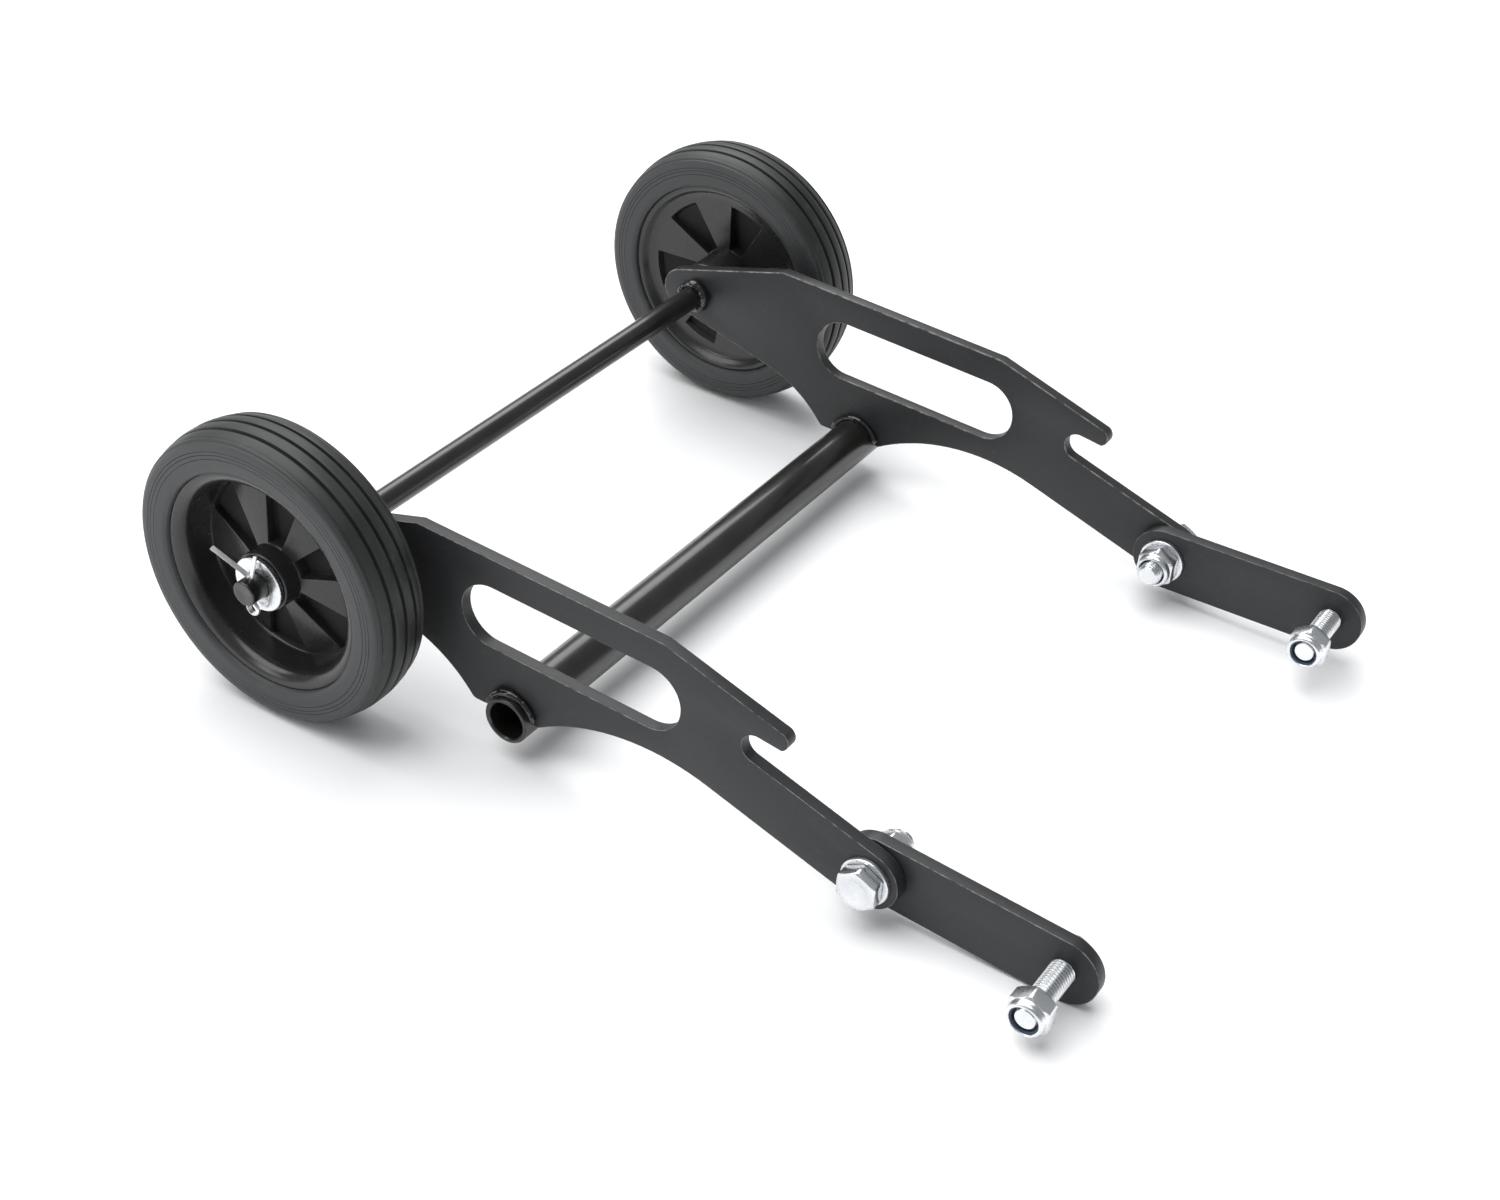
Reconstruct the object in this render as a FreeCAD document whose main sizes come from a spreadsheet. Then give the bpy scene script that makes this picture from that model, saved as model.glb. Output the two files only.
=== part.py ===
"""Two-wheel transport kit: two side plates on one axle, with swinging links.

The kit stands on its wheels with +Z up.  X runs along the axle, Y points from the axle
towards the links, and the origin lies on the floor under the middle of the kit.
"""
import FreeCAD
import Part
import math
import os
import Sketcher

DOC = FreeCAD.newDocument("transport_wheel_kit")
SHEET = DOC.addObject("Spreadsheet::Sheet", "dims")
VECTOR = FreeCAD.Vector
X_AXIS = VECTOR(1, 0, 0)
Z_AXIS = VECTOR(0, 0, 1)

# Driving dimensions, in millimetres and degrees.
SIZES = {
    # wheels and axle
    "wheel_radius": 76.0,
    "tyre_width": 34.0,
    "tyre_shoulder_radius": 71.5,
    "hub_outer_radius": 57.0,
    "wheel_centre_x": 189.0,
    "axle_radius": 6.35,
    "axle_half_length": 214.0,
    "hub_bore_radius": 6.42,
    "boss_radius": 15.0,
    "boss_outer_end": 12.7,
    "boss_inner_end": 28.5,
    "lip_radius": 52.0,
    "lip_half_width": 14.5,
    "web_rim_radius": 47.5,
    "web_front_rim": -4.0,
    "web_front_hub": 3.5,
    "web_depth": 8.5,
    "panel_thick": 2.5,
    "pocket_margin": 0.8,
    "front_pocket_angle": 28.0,
    "rear_pocket_angle": 24.0,
    "hub_turn_right": -3.5,
    "hub_turn_left": -11.0,
    "groove_depth": 2.2,
    "groove_width": 2.0,
    "groove_pitch": 7.4,
    # side plates
    "plate_outer_x": 158.0,
    "plate_thick": 6.35,
    "rail_angle": 87.1,
    "arm_angle": 72.55,
    "heel_angle": 106.3,
    "heel_offset": 15.25,
    "rail_offset": 35.5,
    "hook_offset": 82.75,
    "arm_top_offset": 57.05,
    "arm_bottom_offset": 26.25,
    "end_radius": 12.25,
    "slot_offset": 2.8,
    "slot_radius": 17.0,
    "slot_rear": 99.3,
    "slot_front": 187.5,
    "notch_radius": 7.4,
    "pivot_y": 303.6,
    "pivot_z": -51.8,
    # cross tube
    "tube_y": 111.2,
    "tube_z": -53.3,
    "tube_radius": 12.0,
    "tube_bore_radius": 9.6,
    "tube_half_length": 164.0,
    # links
    "link_thick": 6.35,
    "link_half_width": 17.0,
    "link_length": 92.0,
    "link_gap": 0.8,
    "link_rest_right": -4.48,
    "link_rest_left": 1.0,
    # M12 fasteners
    "neck_radius": 6.02,
    "crest_radius": 5.86,
    "pitch_radius": 5.43,
    "pivot_neck": 18.3,
    "end_neck": 6.55,
    "end_crest": 29.25,
    "bolt_hole_radius": 6.09,
    "hex_across_flats": 19.0,
    "head_height": 7.5,
    "nut_height": 12.0,
    "nut_hex_height": 8.4,
    "nut_bore_radius": 5.51,
    "collar_radius": 8.9,
    "collar_lip_radius": 6.9,
    "insert_radius": 7.6,
    "insert_height": 2.2,
    "washer_radius": 12.0,
    "washer_thick": 2.5,
    "pivot_bolt_length": 35.0,
    "end_bolt_length": 40.0,
    "end_nut_reach": 35.1,
    # axle washers and split pins
    "axle_washer_radius": 14.0,
    "axle_washer_thick": 2.5,
    "axle_washer_x": 202.0,
    "pin_x": 208.5,
    "pin_radius": 1.5,
    "pin_wire_radius": 1.0,
    "pin_hole_radius": 1.7,
}


def fill_sheet():
    """Write every driving dimension to the sheet, each with its own alias."""
    for row, (alias, value) in enumerate(SIZES.items(), start=1):
        SHEET.set("A%d" % row, alias)
        SHEET.set("B%d" % row, repr(value))
        SHEET.setAlias("B%d" % row, alias)
    DOC.recompute()


def size(name):
    """Read one driving dimension."""
    return float(SIZES[name])


def bind(obj, prop, expression):
    """Tie a property to the sheet.  Names in the expression are sheet aliases."""
    for alias in sorted(SIZES, key=len, reverse=True):
        expression = expression.replace("{%s}" % alias, "dims.%s" % alias)
    obj.setExpression(prop, expression)


# ------------------------------------------------------------------ placing

def farthest_link_reach():
    """Largest distance from the axle to the end of either link."""
    reaches = []
    for key in ("link_rest_right", "link_rest_left"):
        reaches.append(size("link_length") * math.cos(math.radians(size(key))))
    return size("pivot_y") + max(reaches) + size("link_half_width")


AXLE_Y = (size("wheel_radius") - farthest_link_reach()) / 2.0
AXLE_Z = size("wheel_radius")
SIZES["axle_y"] = round(AXLE_Y, 3)
AXLE_Y = SIZES["axle_y"]


def place(obj, x, y, z, turn=None):
    """Put an object at a point measured from the axle's middle."""
    rotation = turn if turn is not None else FreeCAD.Rotation()
    obj.Placement = FreeCAD.Placement(VECTOR(x, AXLE_Y + y, AXLE_Z + z), rotation)


# ------------------------------------------------------------------ sketching

def new_body(label):
    body = DOC.addObject("PartDesign::Body", label)
    body.Label = label
    return body


def origin_plane(body, role):
    for feature in body.Origin.OriginFeatures:
        if feature.Role == role:
            return feature
    raise ValueError("no origin plane " + role)


def new_sketch(body, name, role, offset=0.0):
    """Sketch on one of the body's origin planes, shifted along the plane's normal."""
    sketch = body.newObject("Sketcher::SketchObject", name)
    sketch.AttachmentSupport = [(origin_plane(body, role), "")]
    sketch.MapMode = "FlatFace"
    sketch.AttachmentOffset = FreeCAD.Placement(VECTOR(0, 0, offset), FreeCAD.Rotation())
    return sketch


def add_circle(sketch, centre, radius_expression):
    """Add a circle whose radius follows the sheet."""
    index = sketch.addGeometry(Part.Circle(VECTOR(centre[0], centre[1], 0), Z_AXIS, 5.0), False)
    sketch.addConstraint(Sketcher.Constraint("DistanceX", index, 3, centre[0]))
    sketch.addConstraint(Sketcher.Constraint("DistanceY", index, 3, centre[1]))
    row = sketch.addConstraint(Sketcher.Constraint("Radius", index, 5.0))
    bind(sketch, "Constraints[%d]" % row, radius_expression)
    return index


def add_outline(sketch, start, segments):
    """Draw a closed outline.  A segment is ("line", end) or ("arc", through, end)."""
    current = start
    first = None
    previous = None
    for segment in segments:
        begin = VECTOR(current[0], current[1], 0)
        end = VECTOR(segment[-1][0], segment[-1][1], 0)
        if segment[0] == "line":
            curve = Part.LineSegment(begin, end)
        else:
            curve = Part.Arc(begin, VECTOR(segment[1][0], segment[1][1], 0), end)
        index = sketch.addGeometry(curve, False)
        if first is None:
            first = index
        previous = index
        current = segment[-1]
    return first, previous


def add_polygon(sketch, points):
    add_outline(sketch, points[0], [("line", p) for p in points[1:] + points[:1]])


def pad(body, sketch, name, expression, reverse=False):
    feature = body.newObject("PartDesign::Pad", name)
    feature.Profile = sketch
    feature.Reversed = reverse
    bind(feature, "Length", expression)
    return feature


def pocket_through(body, sketch, name):
    feature = body.newObject("PartDesign::Pocket", name)
    feature.Profile = sketch
    feature.Type = 1
    feature.Midplane = True
    return feature


def revolve(body, sketch, name, cut=False):
    """Revolve a profile about the sketch's horizontal axis."""
    kind = "PartDesign::Groove" if cut else "PartDesign::Revolution"
    feature = body.newObject(kind, name)
    feature.Profile = sketch
    feature.ReferenceAxis = (sketch, ["H_Axis"])
    feature.Angle = 360.0
    return feature


# ------------------------------------------------------------------ plane geometry

def unit(angle):
    """Unit vector at an angle in degrees from +Y towards +Z."""
    return (math.cos(math.radians(angle)), math.sin(math.radians(angle)))


def shifted(point, direction, distance):
    return (point[0] + direction[0] * distance, point[1] + direction[1] * distance)


def crossing(angle_a, offset_a, angle_b, offset_b):
    """Where two lines cross, each given by its normal's angle and its offset."""
    ax, ay = unit(angle_a)
    bx, by = unit(angle_b)
    det = ax * by - ay * bx
    return ((offset_a * by - ay * offset_b) / det, (ax * offset_b - offset_a * bx) / det)


def tangent_from(point, centre, radius, side):
    """Point where a line from a point touches a circle."""
    dx = point[0] - centre[0]
    dy = point[1] - centre[1]
    base = math.degrees(math.atan2(dy, dx))
    spread = math.degrees(math.acos(radius / math.hypot(dx, dy)))
    return shifted(centre, unit(base + side * spread), radius)


def arc_leaving(start, heading, end):
    """Middle point and final heading of an arc that leaves start along a heading."""
    chord = math.degrees(math.atan2(end[1] - start[1], end[0] - start[0]))
    half = chord - heading
    length = math.hypot(end[0] - start[0], end[1] - start[1])
    radius = length / (2.0 * math.sin(math.radians(half)))
    centre = shifted(start, unit(heading + 90.0), radius)
    return shifted(centre, unit(heading - 90.0 + half), radius), heading + 2.0 * half


# ------------------------------------------------------------------ side plates

def plate_outline():
    """Outline of a side plate around the axle, going from the heel over the top."""
    heel_centre = (-9.0, 0.5)
    heel_radius = size("end_radius")
    pivot = (size("pivot_y"), size("pivot_z"))
    tube = (size("tube_y"), size("tube_z"))
    arm_normal = unit(size("arm_angle"))
    arm_half = (size("arm_top_offset") - size("arm_bottom_offset")) / 2.0
    notch_r = size("notch_radius")

    top_start = shifted(heel_centre, unit(size("heel_angle")), heel_radius)
    corner_rear = crossing(size("heel_angle"), size("heel_offset"),
                           size("rail_angle"), size("rail_offset"))
    corner_front = crossing(size("rail_angle"), size("rail_offset"),
                            size("arm_angle"), size("hook_offset"))
    along_arm = unit(size("arm_angle") - 90.0)
    hook_base = (arm_normal[0] * size("hook_offset"), arm_normal[1] * size("hook_offset"))
    tip_top = shifted(hook_base, along_arm, 244.0)
    tip_nose = (259.9, 0.8)
    tip_bottom = (256.6, -3.45)

    notch_centre_s = 235.5
    notch_base = size("arm_top_offset") + notch_r
    notch = shifted((arm_normal[0] * notch_base, arm_normal[1] * notch_base),
                    along_arm, notch_centre_s)
    notch_top = shifted(notch, unit(84.3), notch_r)
    notch_back = shifted(notch, unit(180.0), notch_r)
    notch_low = shifted(notch, unit(size("arm_angle") + 180.0), notch_r)

    arm_top = shifted(pivot, arm_normal, arm_half)
    arm_tip = shifted(pivot, along_arm, arm_half)
    arm_low = shifted(pivot, arm_normal, -arm_half)

    belly_radius = 113.2
    belly_s = 222.6
    belly_base = size("arm_bottom_offset") - belly_radius
    belly = shifted((arm_normal[0] * belly_base, arm_normal[1] * belly_base),
                    along_arm, belly_s)
    belly_front = shifted(belly, arm_normal, belly_radius)
    belly_top = shifted(belly, unit(90.0), belly_radius)

    lug_start = (86.6, -52.3)
    straight_end = (50.1, -28.1)
    heel_low = tangent_from(straight_end, heel_centre, heel_radius, -1.0)
    heading = math.degrees(math.atan2(straight_end[1] - heel_low[1],
                                      straight_end[0] - heel_low[0]))
    lug_middle, lug_heading = arc_leaving(straight_end, heading, lug_start)
    lug_radius = 4.0
    lug_centre = shifted(lug_start, unit(lug_heading + 90.0), lug_radius)
    lug_end = shifted(lug_centre, unit(-90.0), lug_radius)
    lug_through = shifted(lug_centre, unit((lug_heading - 180.0) / 2.0), lug_radius)
    seat_z = lug_end[1]
    seat_half = math.sqrt(size("tube_radius") ** 2 - (seat_z - tube[1]) ** 2)
    seat_rear = (tube[0] - seat_half, seat_z)
    seat_front = (tube[0] + seat_half, seat_z)
    seat_top = (tube[0], tube[1] + size("tube_radius"))
    belly_rear = (belly[0] - math.sqrt(belly_radius ** 2 - (seat_z - belly[1]) ** 2), seat_z)
    belly_mid = shifted(belly, unit(107.0), belly_radius)

    segments = [
        ("line", corner_rear),
        ("line", corner_front),
        ("line", tip_top),
        ("arc", tip_nose, tip_bottom),
        ("line", notch_top),
        ("arc", notch_back, notch_low),
        ("line", arm_top),
        ("arc", arm_tip, arm_low),
        ("line", belly_front),
        ("arc", belly_top, belly_mid),
        ("arc", shifted(belly, unit(115.0), belly_radius), belly_rear),
        ("line", seat_front),
        ("arc", seat_top, seat_rear),
        ("line", lug_end),
        ("arc", lug_through, lug_start),
        ("arc", lug_middle, straight_end),
        ("line", heel_low),
        ("arc", shifted(heel_centre, unit(180.0), heel_radius), top_start),
    ]
    return top_start, segments


def slot_outline():
    """Stadium slot that runs parallel to the plate's top rail."""
    normal = unit(size("rail_angle"))
    along = unit(size("rail_angle") - 90.0)
    base = (normal[0] * size("slot_offset"), normal[1] * size("slot_offset"))
    rear = shifted(base, along, size("slot_rear"))
    front = shifted(base, along, size("slot_front"))
    radius = size("slot_radius")
    start = shifted(rear, normal, radius)
    segments = [
        ("line", shifted(front, normal, radius)),
        ("arc", shifted(front, along, radius), shifted(front, normal, -radius)),
        ("line", shifted(rear, normal, -radius)),
        ("arc", shifted(rear, along, -radius), start),
    ]
    return start, segments


def make_side_plate(label, x):
    """Laser-cut plate with the axle hole, pivot hole and oval slot."""
    body = new_body(label)
    profile = new_sketch(body, label + "_outline", "YZ_Plane")
    add_outline(profile, *plate_outline())
    pad(body, profile, label + "_pad", "{plate_thick}")
    holes = new_sketch(body, label + "_holes", "YZ_Plane")
    add_circle(holes, (0.0, 0.0), "{axle_radius}")
    add_circle(holes, (size("pivot_y"), size("pivot_z")), "{bolt_hole_radius}")
    add_outline(holes, *slot_outline())
    cut = body.newObject("PartDesign::Pocket", label + "_cut")
    cut.Profile = holes
    cut.Type = 1
    cut.Reversed = True
    place(body, x, 0, 0)
    return body


# ------------------------------------------------------------------ tube and axle

def make_cross_tube():
    body = new_body("cross_tube")
    ring = new_sketch(body, "cross_tube_ring", "YZ_Plane")
    add_circle(ring, (0.0, 0.0), "{tube_radius}")
    add_circle(ring, (0.0, 0.0), "{tube_bore_radius}")
    tube = pad(body, ring, "cross_tube_pad", "2 * {tube_half_length}")
    tube.Midplane = True
    place(body, 0, size("tube_y"), size("tube_z"))
    return body


def make_axle():
    """Solid rod with chamfered ends and a hole near each end for a split pin."""
    body = new_body("axle")
    half = size("axle_half_length")
    radius = size("axle_radius")
    chamfer = 0.8
    profile = new_sketch(body, "axle_profile", "XZ_Plane")
    add_polygon(profile, [
        (-half, 0), (-half, radius - chamfer), (-half + chamfer, radius),
        (half - chamfer, radius), (half, radius - chamfer), (half, 0)])
    revolve(body, profile, "axle_turning")
    holes = new_sketch(body, "axle_pin_holes", "XY_Plane")
    for side in (1, -1):
        add_circle(holes, (side * size("pin_x"), 0.0), "{pin_hole_radius}")
    pocket_through(body, holes, "axle_pin_drilling")
    place(body, 0, 0, 0)
    return body


def ring_bead(inner_radius, leg, length, start_angle=0.0, sweep=360.0):
    """Weld bead round a rod, against a plate at x = 0, that stands out towards +X."""
    points = [
        VECTOR(0, 0, inner_radius),
        VECTOR(length, 0, inner_radius),
        VECTOR(length * 0.45, 0, inner_radius + leg * 0.62),
        VECTOR(0, 0, inner_radius + leg),
    ]
    wire = Part.Wire([
        Part.LineSegment(points[0], points[1]).toShape(),
        Part.Arc(points[1], points[2], points[3]).toShape(),
        Part.LineSegment(points[3], points[0]).toShape(),
    ])
    face = Part.Face(wire)
    face.rotate(VECTOR(0, 0, 0), X_AXIS, start_angle)
    return face.revolve(VECTOR(0, 0, 0), X_AXIS, sweep)


def mirrored_x(shape):
    return shape.mirror(VECTOR(0, 0, 0), X_AXIS)


def make_axle_welds():
    """One bead round the axle on the inner face of each plate."""
    inner_face = size("plate_outer_x") - size("plate_thick")
    bead = mirrored_x(ring_bead(size("axle_radius"), 4.5, 6.0))
    bead.translate(VECTOR(inner_face, 0, 0))
    feature = DOC.addObject("Part::Feature", "axle_welds")
    feature.Label = "axle_welds"
    feature.Shape = Part.makeCompound([bead, mirrored_x(bead)])
    place(feature, 0, 0, 0)
    return feature


def make_tube_welds():
    """Beads over the top half of the cross tube, on both faces of each plate."""
    outer_face = size("plate_outer_x")
    inner_face = outer_face - size("plate_thick")
    beads = []
    for face_x, flip in ((outer_face, False), (inner_face, True)):
        bead = ring_bead(size("tube_radius"), 3.6, 4.2, -86.0, 172.0)
        if flip:
            bead = mirrored_x(bead)
        bead.translate(VECTOR(face_x, 0, 0))
        beads.append(bead)
        beads.append(mirrored_x(bead))
    feature = DOC.addObject("Part::Feature", "cross_tube_welds")
    feature.Label = "cross_tube_welds"
    feature.Shape = Part.makeCompound(beads)
    place(feature, 0, size("tube_y"), size("tube_z"))
    return feature


# ------------------------------------------------------------------ fasteners

def add_hexagon(sketch, across_flats, turn=0.0):
    corner = across_flats / math.sqrt(3.0)
    points = []
    for step in range(6):
        direction = unit(turn + 60.0 * step)
        points.append((direction[0] * corner, direction[1] * corner))
    add_polygon(sketch, points)


def chamfer_corners(body, name, x, outward):
    """Turn the corners off a hexagon's flat end at x, facing outward (+1 or -1)."""
    flat = size("hex_across_flats") / 2.0
    corner = size("hex_across_flats") / math.sqrt(3.0) + 1.0
    slope = 0.52
    depth = (corner - flat) * slope
    sketch = new_sketch(body, name + "_profile", "XZ_Plane")
    add_polygon(sketch, [
        (x + outward * 0.5, flat - 0.4), (x, flat - 0.4),
        (x - outward * (depth + 0.4 * slope), corner), (x + outward * 0.5, corner)])
    return revolve(body, sketch, name, cut=True)


def hex_bolt_body(label, length_name, neck_name, crest_name):
    """Hex bolt: the head lies on the +X side of x = 0 and the shank runs towards -X.

    The thread is drawn as plain cylinders: its crests where it is bare, and its pitch
    cylinder where the nut engages it.
    """
    body = new_body(label)
    head = new_sketch(body, label + "_head_outline", "YZ_Plane")
    add_hexagon(head, size("hex_across_flats"), 30.0)
    pad(body, head, label + "_head", "{head_height}")
    chamfer_corners(body, label + "_head_chamfer", size("head_height"), 1)
    shank = new_sketch(body, label + "_shank_profile", "XZ_Plane")
    length = size(length_name)
    neck_end = size(neck_name)
    crest_end = size(crest_name)
    neck = size("neck_radius")
    crest = size("crest_radius")
    pitch = size("pitch_radius")
    chamfer = 1.0
    outline = [(0.5, 0), (0.5, neck), (-neck_end, neck)]
    if crest_end > neck_end:
        outline += [(-neck_end, crest), (-crest_end, crest)]
    outline += [(-crest_end, pitch), (-length + chamfer, pitch),
                (-length, pitch - chamfer), (-length, 0)]
    add_polygon(shank, outline)
    revolve(body, shank, label + "_shank")
    return body


def lock_nut_body(label):
    """Nylon-insert nut from x = 0 towards +X: hexagon, round collar, recess for the ring."""
    body = new_body(label)
    hexagon = new_sketch(body, label + "_hexagon", "YZ_Plane")
    add_hexagon(hexagon, size("hex_across_flats"), 30.0)
    pad(body, hexagon, label + "_hex", "{nut_hex_height}")
    chamfer_corners(body, label + "_bearing_chamfer", 0.0, -1)
    chamfer_corners(body, label + "_top_chamfer", size("nut_hex_height"), 1)
    top = size("nut_height")
    base = size("nut_hex_height")
    collar = size("collar_radius")
    profile = new_sketch(body, label + "_collar_profile", "XZ_Plane")
    add_outline(profile, (base - 1.0, 0), [
        ("line", (base - 1.0, collar)),
        ("line", (top - 1.6, collar)),
        ("arc", (top - 0.47, collar - 0.47), (top, collar - 1.6)),
        ("line", (top, 0)),
        ("line", (base - 1.0, 0))])
    revolve(body, profile, label + "_collar")
    bore = size("nut_bore_radius")
    seat = size("insert_radius")
    lip = size("collar_lip_radius")
    seat_top = top - 0.7
    seat_low = seat_top - size("insert_height")
    hollow = new_sketch(body, label + "_hollow_profile", "XZ_Plane")
    add_polygon(hollow, [
        (-1.0, 0), (-1.0, bore), (seat_low, bore), (seat_low, seat),
        (seat_top, seat), (seat_top, lip), (top + 1.0, lip), (top + 1.0, 0)])
    revolve(body, hollow, label + "_hollow", cut=True)
    return body


def insert_ring_body(label):
    """Nylon ring that sits in the nut's collar."""
    body = new_body(label)
    seat_top = size("nut_height") - 0.7
    seat_low = seat_top - size("insert_height")
    profile = new_sketch(body, label + "_profile", "XZ_Plane")
    bore = size("nut_bore_radius")
    seat = size("insert_radius")
    add_polygon(profile, [(seat_low, bore), (seat_low, seat), (seat_top, seat),
                          (seat_top, bore)])
    revolve(body, profile, label + "_ring")
    return body


def washer_body(label, outer_expression, inner_expression, thick_expression):
    body = new_body(label)
    ring = new_sketch(body, label + "_ring", "YZ_Plane")
    add_circle(ring, (0.0, 0.0), outer_expression)
    add_circle(ring, (0.0, 0.0), inner_expression)
    pad(body, ring, label + "_pad", thick_expression)
    return body


HALF_TURN = FreeCAD.Rotation(Z_AXIS, 180.0)


def group(label, members):
    """Gather identical pieces in one sub-part of separate solids."""
    compound = DOC.addObject("Part::Compound", label)
    compound.Label = label
    compound.Links = members
    return compound


def link_outer_x():
    """Distance from the middle plane to the face of a link that faces its plate."""
    return size("plate_outer_x") - size("plate_thick") - size("link_gap")


def make_pivot_hardware():
    """Bolt, washers and lock nut at each arm's end, heads outside and nuts inside."""
    y = size("pivot_y")
    z = size("pivot_z")
    outer = size("plate_outer_x")
    inner = link_outer_x() - size("link_thick")
    bolts = []
    outer_washers = []
    inner_washers = []
    nuts = []
    rings = []
    for side, name in ((1, "right"), (-1, "left")):
        turn = None if side > 0 else HALF_TURN
        back = HALF_TURN if side > 0 else None
        bolt = hex_bolt_body("pivot_bolt_" + name, "pivot_bolt_length", "pivot_neck", "pivot_neck")
        place(bolt, side * (outer + size("washer_thick")), y, z, turn)
        bolts.append(bolt)
        washer = washer_body("pivot_outer_washer_" + name, "{washer_radius}",
                             "{bolt_hole_radius}", "{washer_thick}")
        place(washer, side * outer, y, z, turn)
        outer_washers.append(washer)
        washer = washer_body("pivot_inner_washer_" + name, "{washer_radius}",
                             "{bolt_hole_radius}", "{washer_thick}")
        place(washer, side * inner, y, z, back)
        inner_washers.append(washer)
        nut = lock_nut_body("pivot_nut_" + name)
        place(nut, side * (inner - size("washer_thick")), y, z, back)
        nuts.append(nut)
        ring = insert_ring_body("pivot_ring_" + name)
        place(ring, side * (inner - size("washer_thick")), y, z, back)
        rings.append(ring)
    return [
        group("pivot_bolts", bolts),
        group("pivot_outer_washers", outer_washers),
        group("pivot_inner_washers", inner_washers),
        group("pivot_lock_nuts", nuts),
        group("pivot_nut_rings", rings),
    ]


def make_axle_washers():
    members = []
    for side, name in ((1, "right"), (-1, "left")):
        washer = washer_body("axle_washer_" + name, "{axle_washer_radius}",
                             "{axle_radius} + 0.25", "{axle_washer_thick}")
        place(washer, side * size("axle_washer_x"), 0, 0, None if side > 0 else HALF_TURN)
        members.append(washer)
    return group("axle_washers", members)


def rod_between(start, end, radius):
    """Round rod with flat ends."""
    axis = end - start
    return Part.makeCylinder(radius, axis.Length, start, axis)


def split_pin_shape():
    """Folded pin: eye below the axle, straight middle, two spread legs above."""
    rod = size("axle_radius")
    wire = size("pin_wire_radius")
    eye = Part.makeTorus(2.9, wire + 0.1, VECTOR(0, 0, -rod - 4.3), X_AXIS)
    middle = Part.makeCylinder(size("pin_radius"), 2 * rod + 2.4, VECTOR(0, 0, -rod - 1.6))
    fork = VECTOR(0, 0, rod - 0.6)
    short_leg = rod_between(fork, VECTOR(-2.6, 1.6, rod + 11.8), wire)
    long_leg = rod_between(fork, VECTOR(4.0, -19.0, rod + 11.3), wire)
    pin = middle.fuse(eye)
    pin = pin.fuse(short_leg)
    return pin.fuse(long_leg)


def make_split_pins():
    first = split_pin_shape()
    second = first.copy()
    second.rotate(VECTOR(0, 0, 0), Z_AXIS, 180.0)
    first.translate(VECTOR(size("pin_x"), 0, 0))
    second.translate(VECTOR(-size("pin_x"), 0, 0))
    feature = DOC.addObject("Part::Feature", "split_pins")
    feature.Label = "split_pins"
    feature.Shape = Part.makeCompound([first, second])
    place(feature, 0, 0, 0)
    return feature


# ------------------------------------------------------------------ wheels

def make_tyre(label):
    """Solid tyre: crowned tread with three grooves, rounded shoulders, flat sides."""
    body = new_body(label)
    half = size("tyre_width") / 2.0
    crown = size("wheel_radius")
    shoulder = size("tyre_shoulder_radius")
    seat = size("hub_outer_radius")
    depth = size("groove_depth")
    width = size("groove_width")
    pitch = size("groove_pitch")
    rib_drop = {0: 0.0, 1: 0.5, 2: 2.4}
    mouth = width / 2.0 + 0.35
    floor_half = width / 2.0 - 0.2
    segments = []
    start = (-half + 1.6, seat)
    segments.append(("line", (-half + 0.6, seat + 1.6)))
    segments.append(("line", (-half, shoulder - 3.5)))
    segments.append(("arc", (-half + 1.1, shoulder), (-half + 4.2, crown - rib_drop[2] + 1.0)))
    for centre in (-pitch, 0.0, pitch):
        lip = crown - (rib_drop[1] if centre else rib_drop[0])
        segments.append(("line", (centre - mouth, lip)))
        segments.append(("line", (centre - floor_half, lip - depth)))
        segments.append(("line", (centre + floor_half, lip - depth)))
        segments.append(("line", (centre + mouth, lip)))
    segments.append(("line", (half - 4.2, crown - rib_drop[2] + 1.0)))
    segments.append(("arc", (half - 1.1, shoulder), (half, shoulder - 3.5)))
    segments.append(("line", (half - 0.6, seat + 1.6)))
    segments.append(("line", (half - 1.6, seat)))
    segments.append(("line", start))
    profile = new_sketch(body, label + "_section", "XZ_Plane")
    add_outline(profile, start, segments)
    revolve(body, profile, label + "_moulding")
    return body


def web_face(radius, drop):
    """Axial place of a web surface that lies drop behind the coned front face."""
    rise = size("web_front_hub") - size("web_front_rim")
    span = size("web_rim_radius") - size("boss_radius")
    along = (size("web_rim_radius") - radius) / span
    return size("web_front_rim") + rise * along - drop


def rim_section():
    """Section of the hub's barrel: tyre seat outside, lips and dish wall inside."""
    lip = size("lip_half_width")
    rim = size("web_rim_radius")
    depth = size("web_depth")
    edge = 0.8
    return [
        (-lip, size("hub_outer_radius")), (lip, size("hub_outer_radius")),
        (lip, size("lip_radius") + edge), (lip - edge, size("lip_radius")),
        (web_face(rim, 0.0), rim), (web_face(rim, depth), rim),
        (-lip + edge, size("lip_radius")), (-lip, size("lip_radius") + edge)]


def web_section():
    """Section of the sloping web, before its pockets."""
    rim = size("web_rim_radius")
    boss = size("boss_radius")
    depth = size("web_depth")
    return [(web_face(boss, 0.0), boss), (web_face(rim, 0.0), rim),
            (web_face(rim, depth), rim), (web_face(boss, depth), boss)]


def boss_section():
    """Section of the long boss round the axle."""
    bore = size("hub_bore_radius")
    boss = size("boss_radius")
    inner = -size("boss_inner_end")
    outer = size("boss_outer_end")
    edge = 0.8
    return [
        (inner, bore), (inner, boss - edge), (inner + edge, boss),
        (outer - edge, boss), (outer, boss - edge), (outer, bore)]


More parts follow.
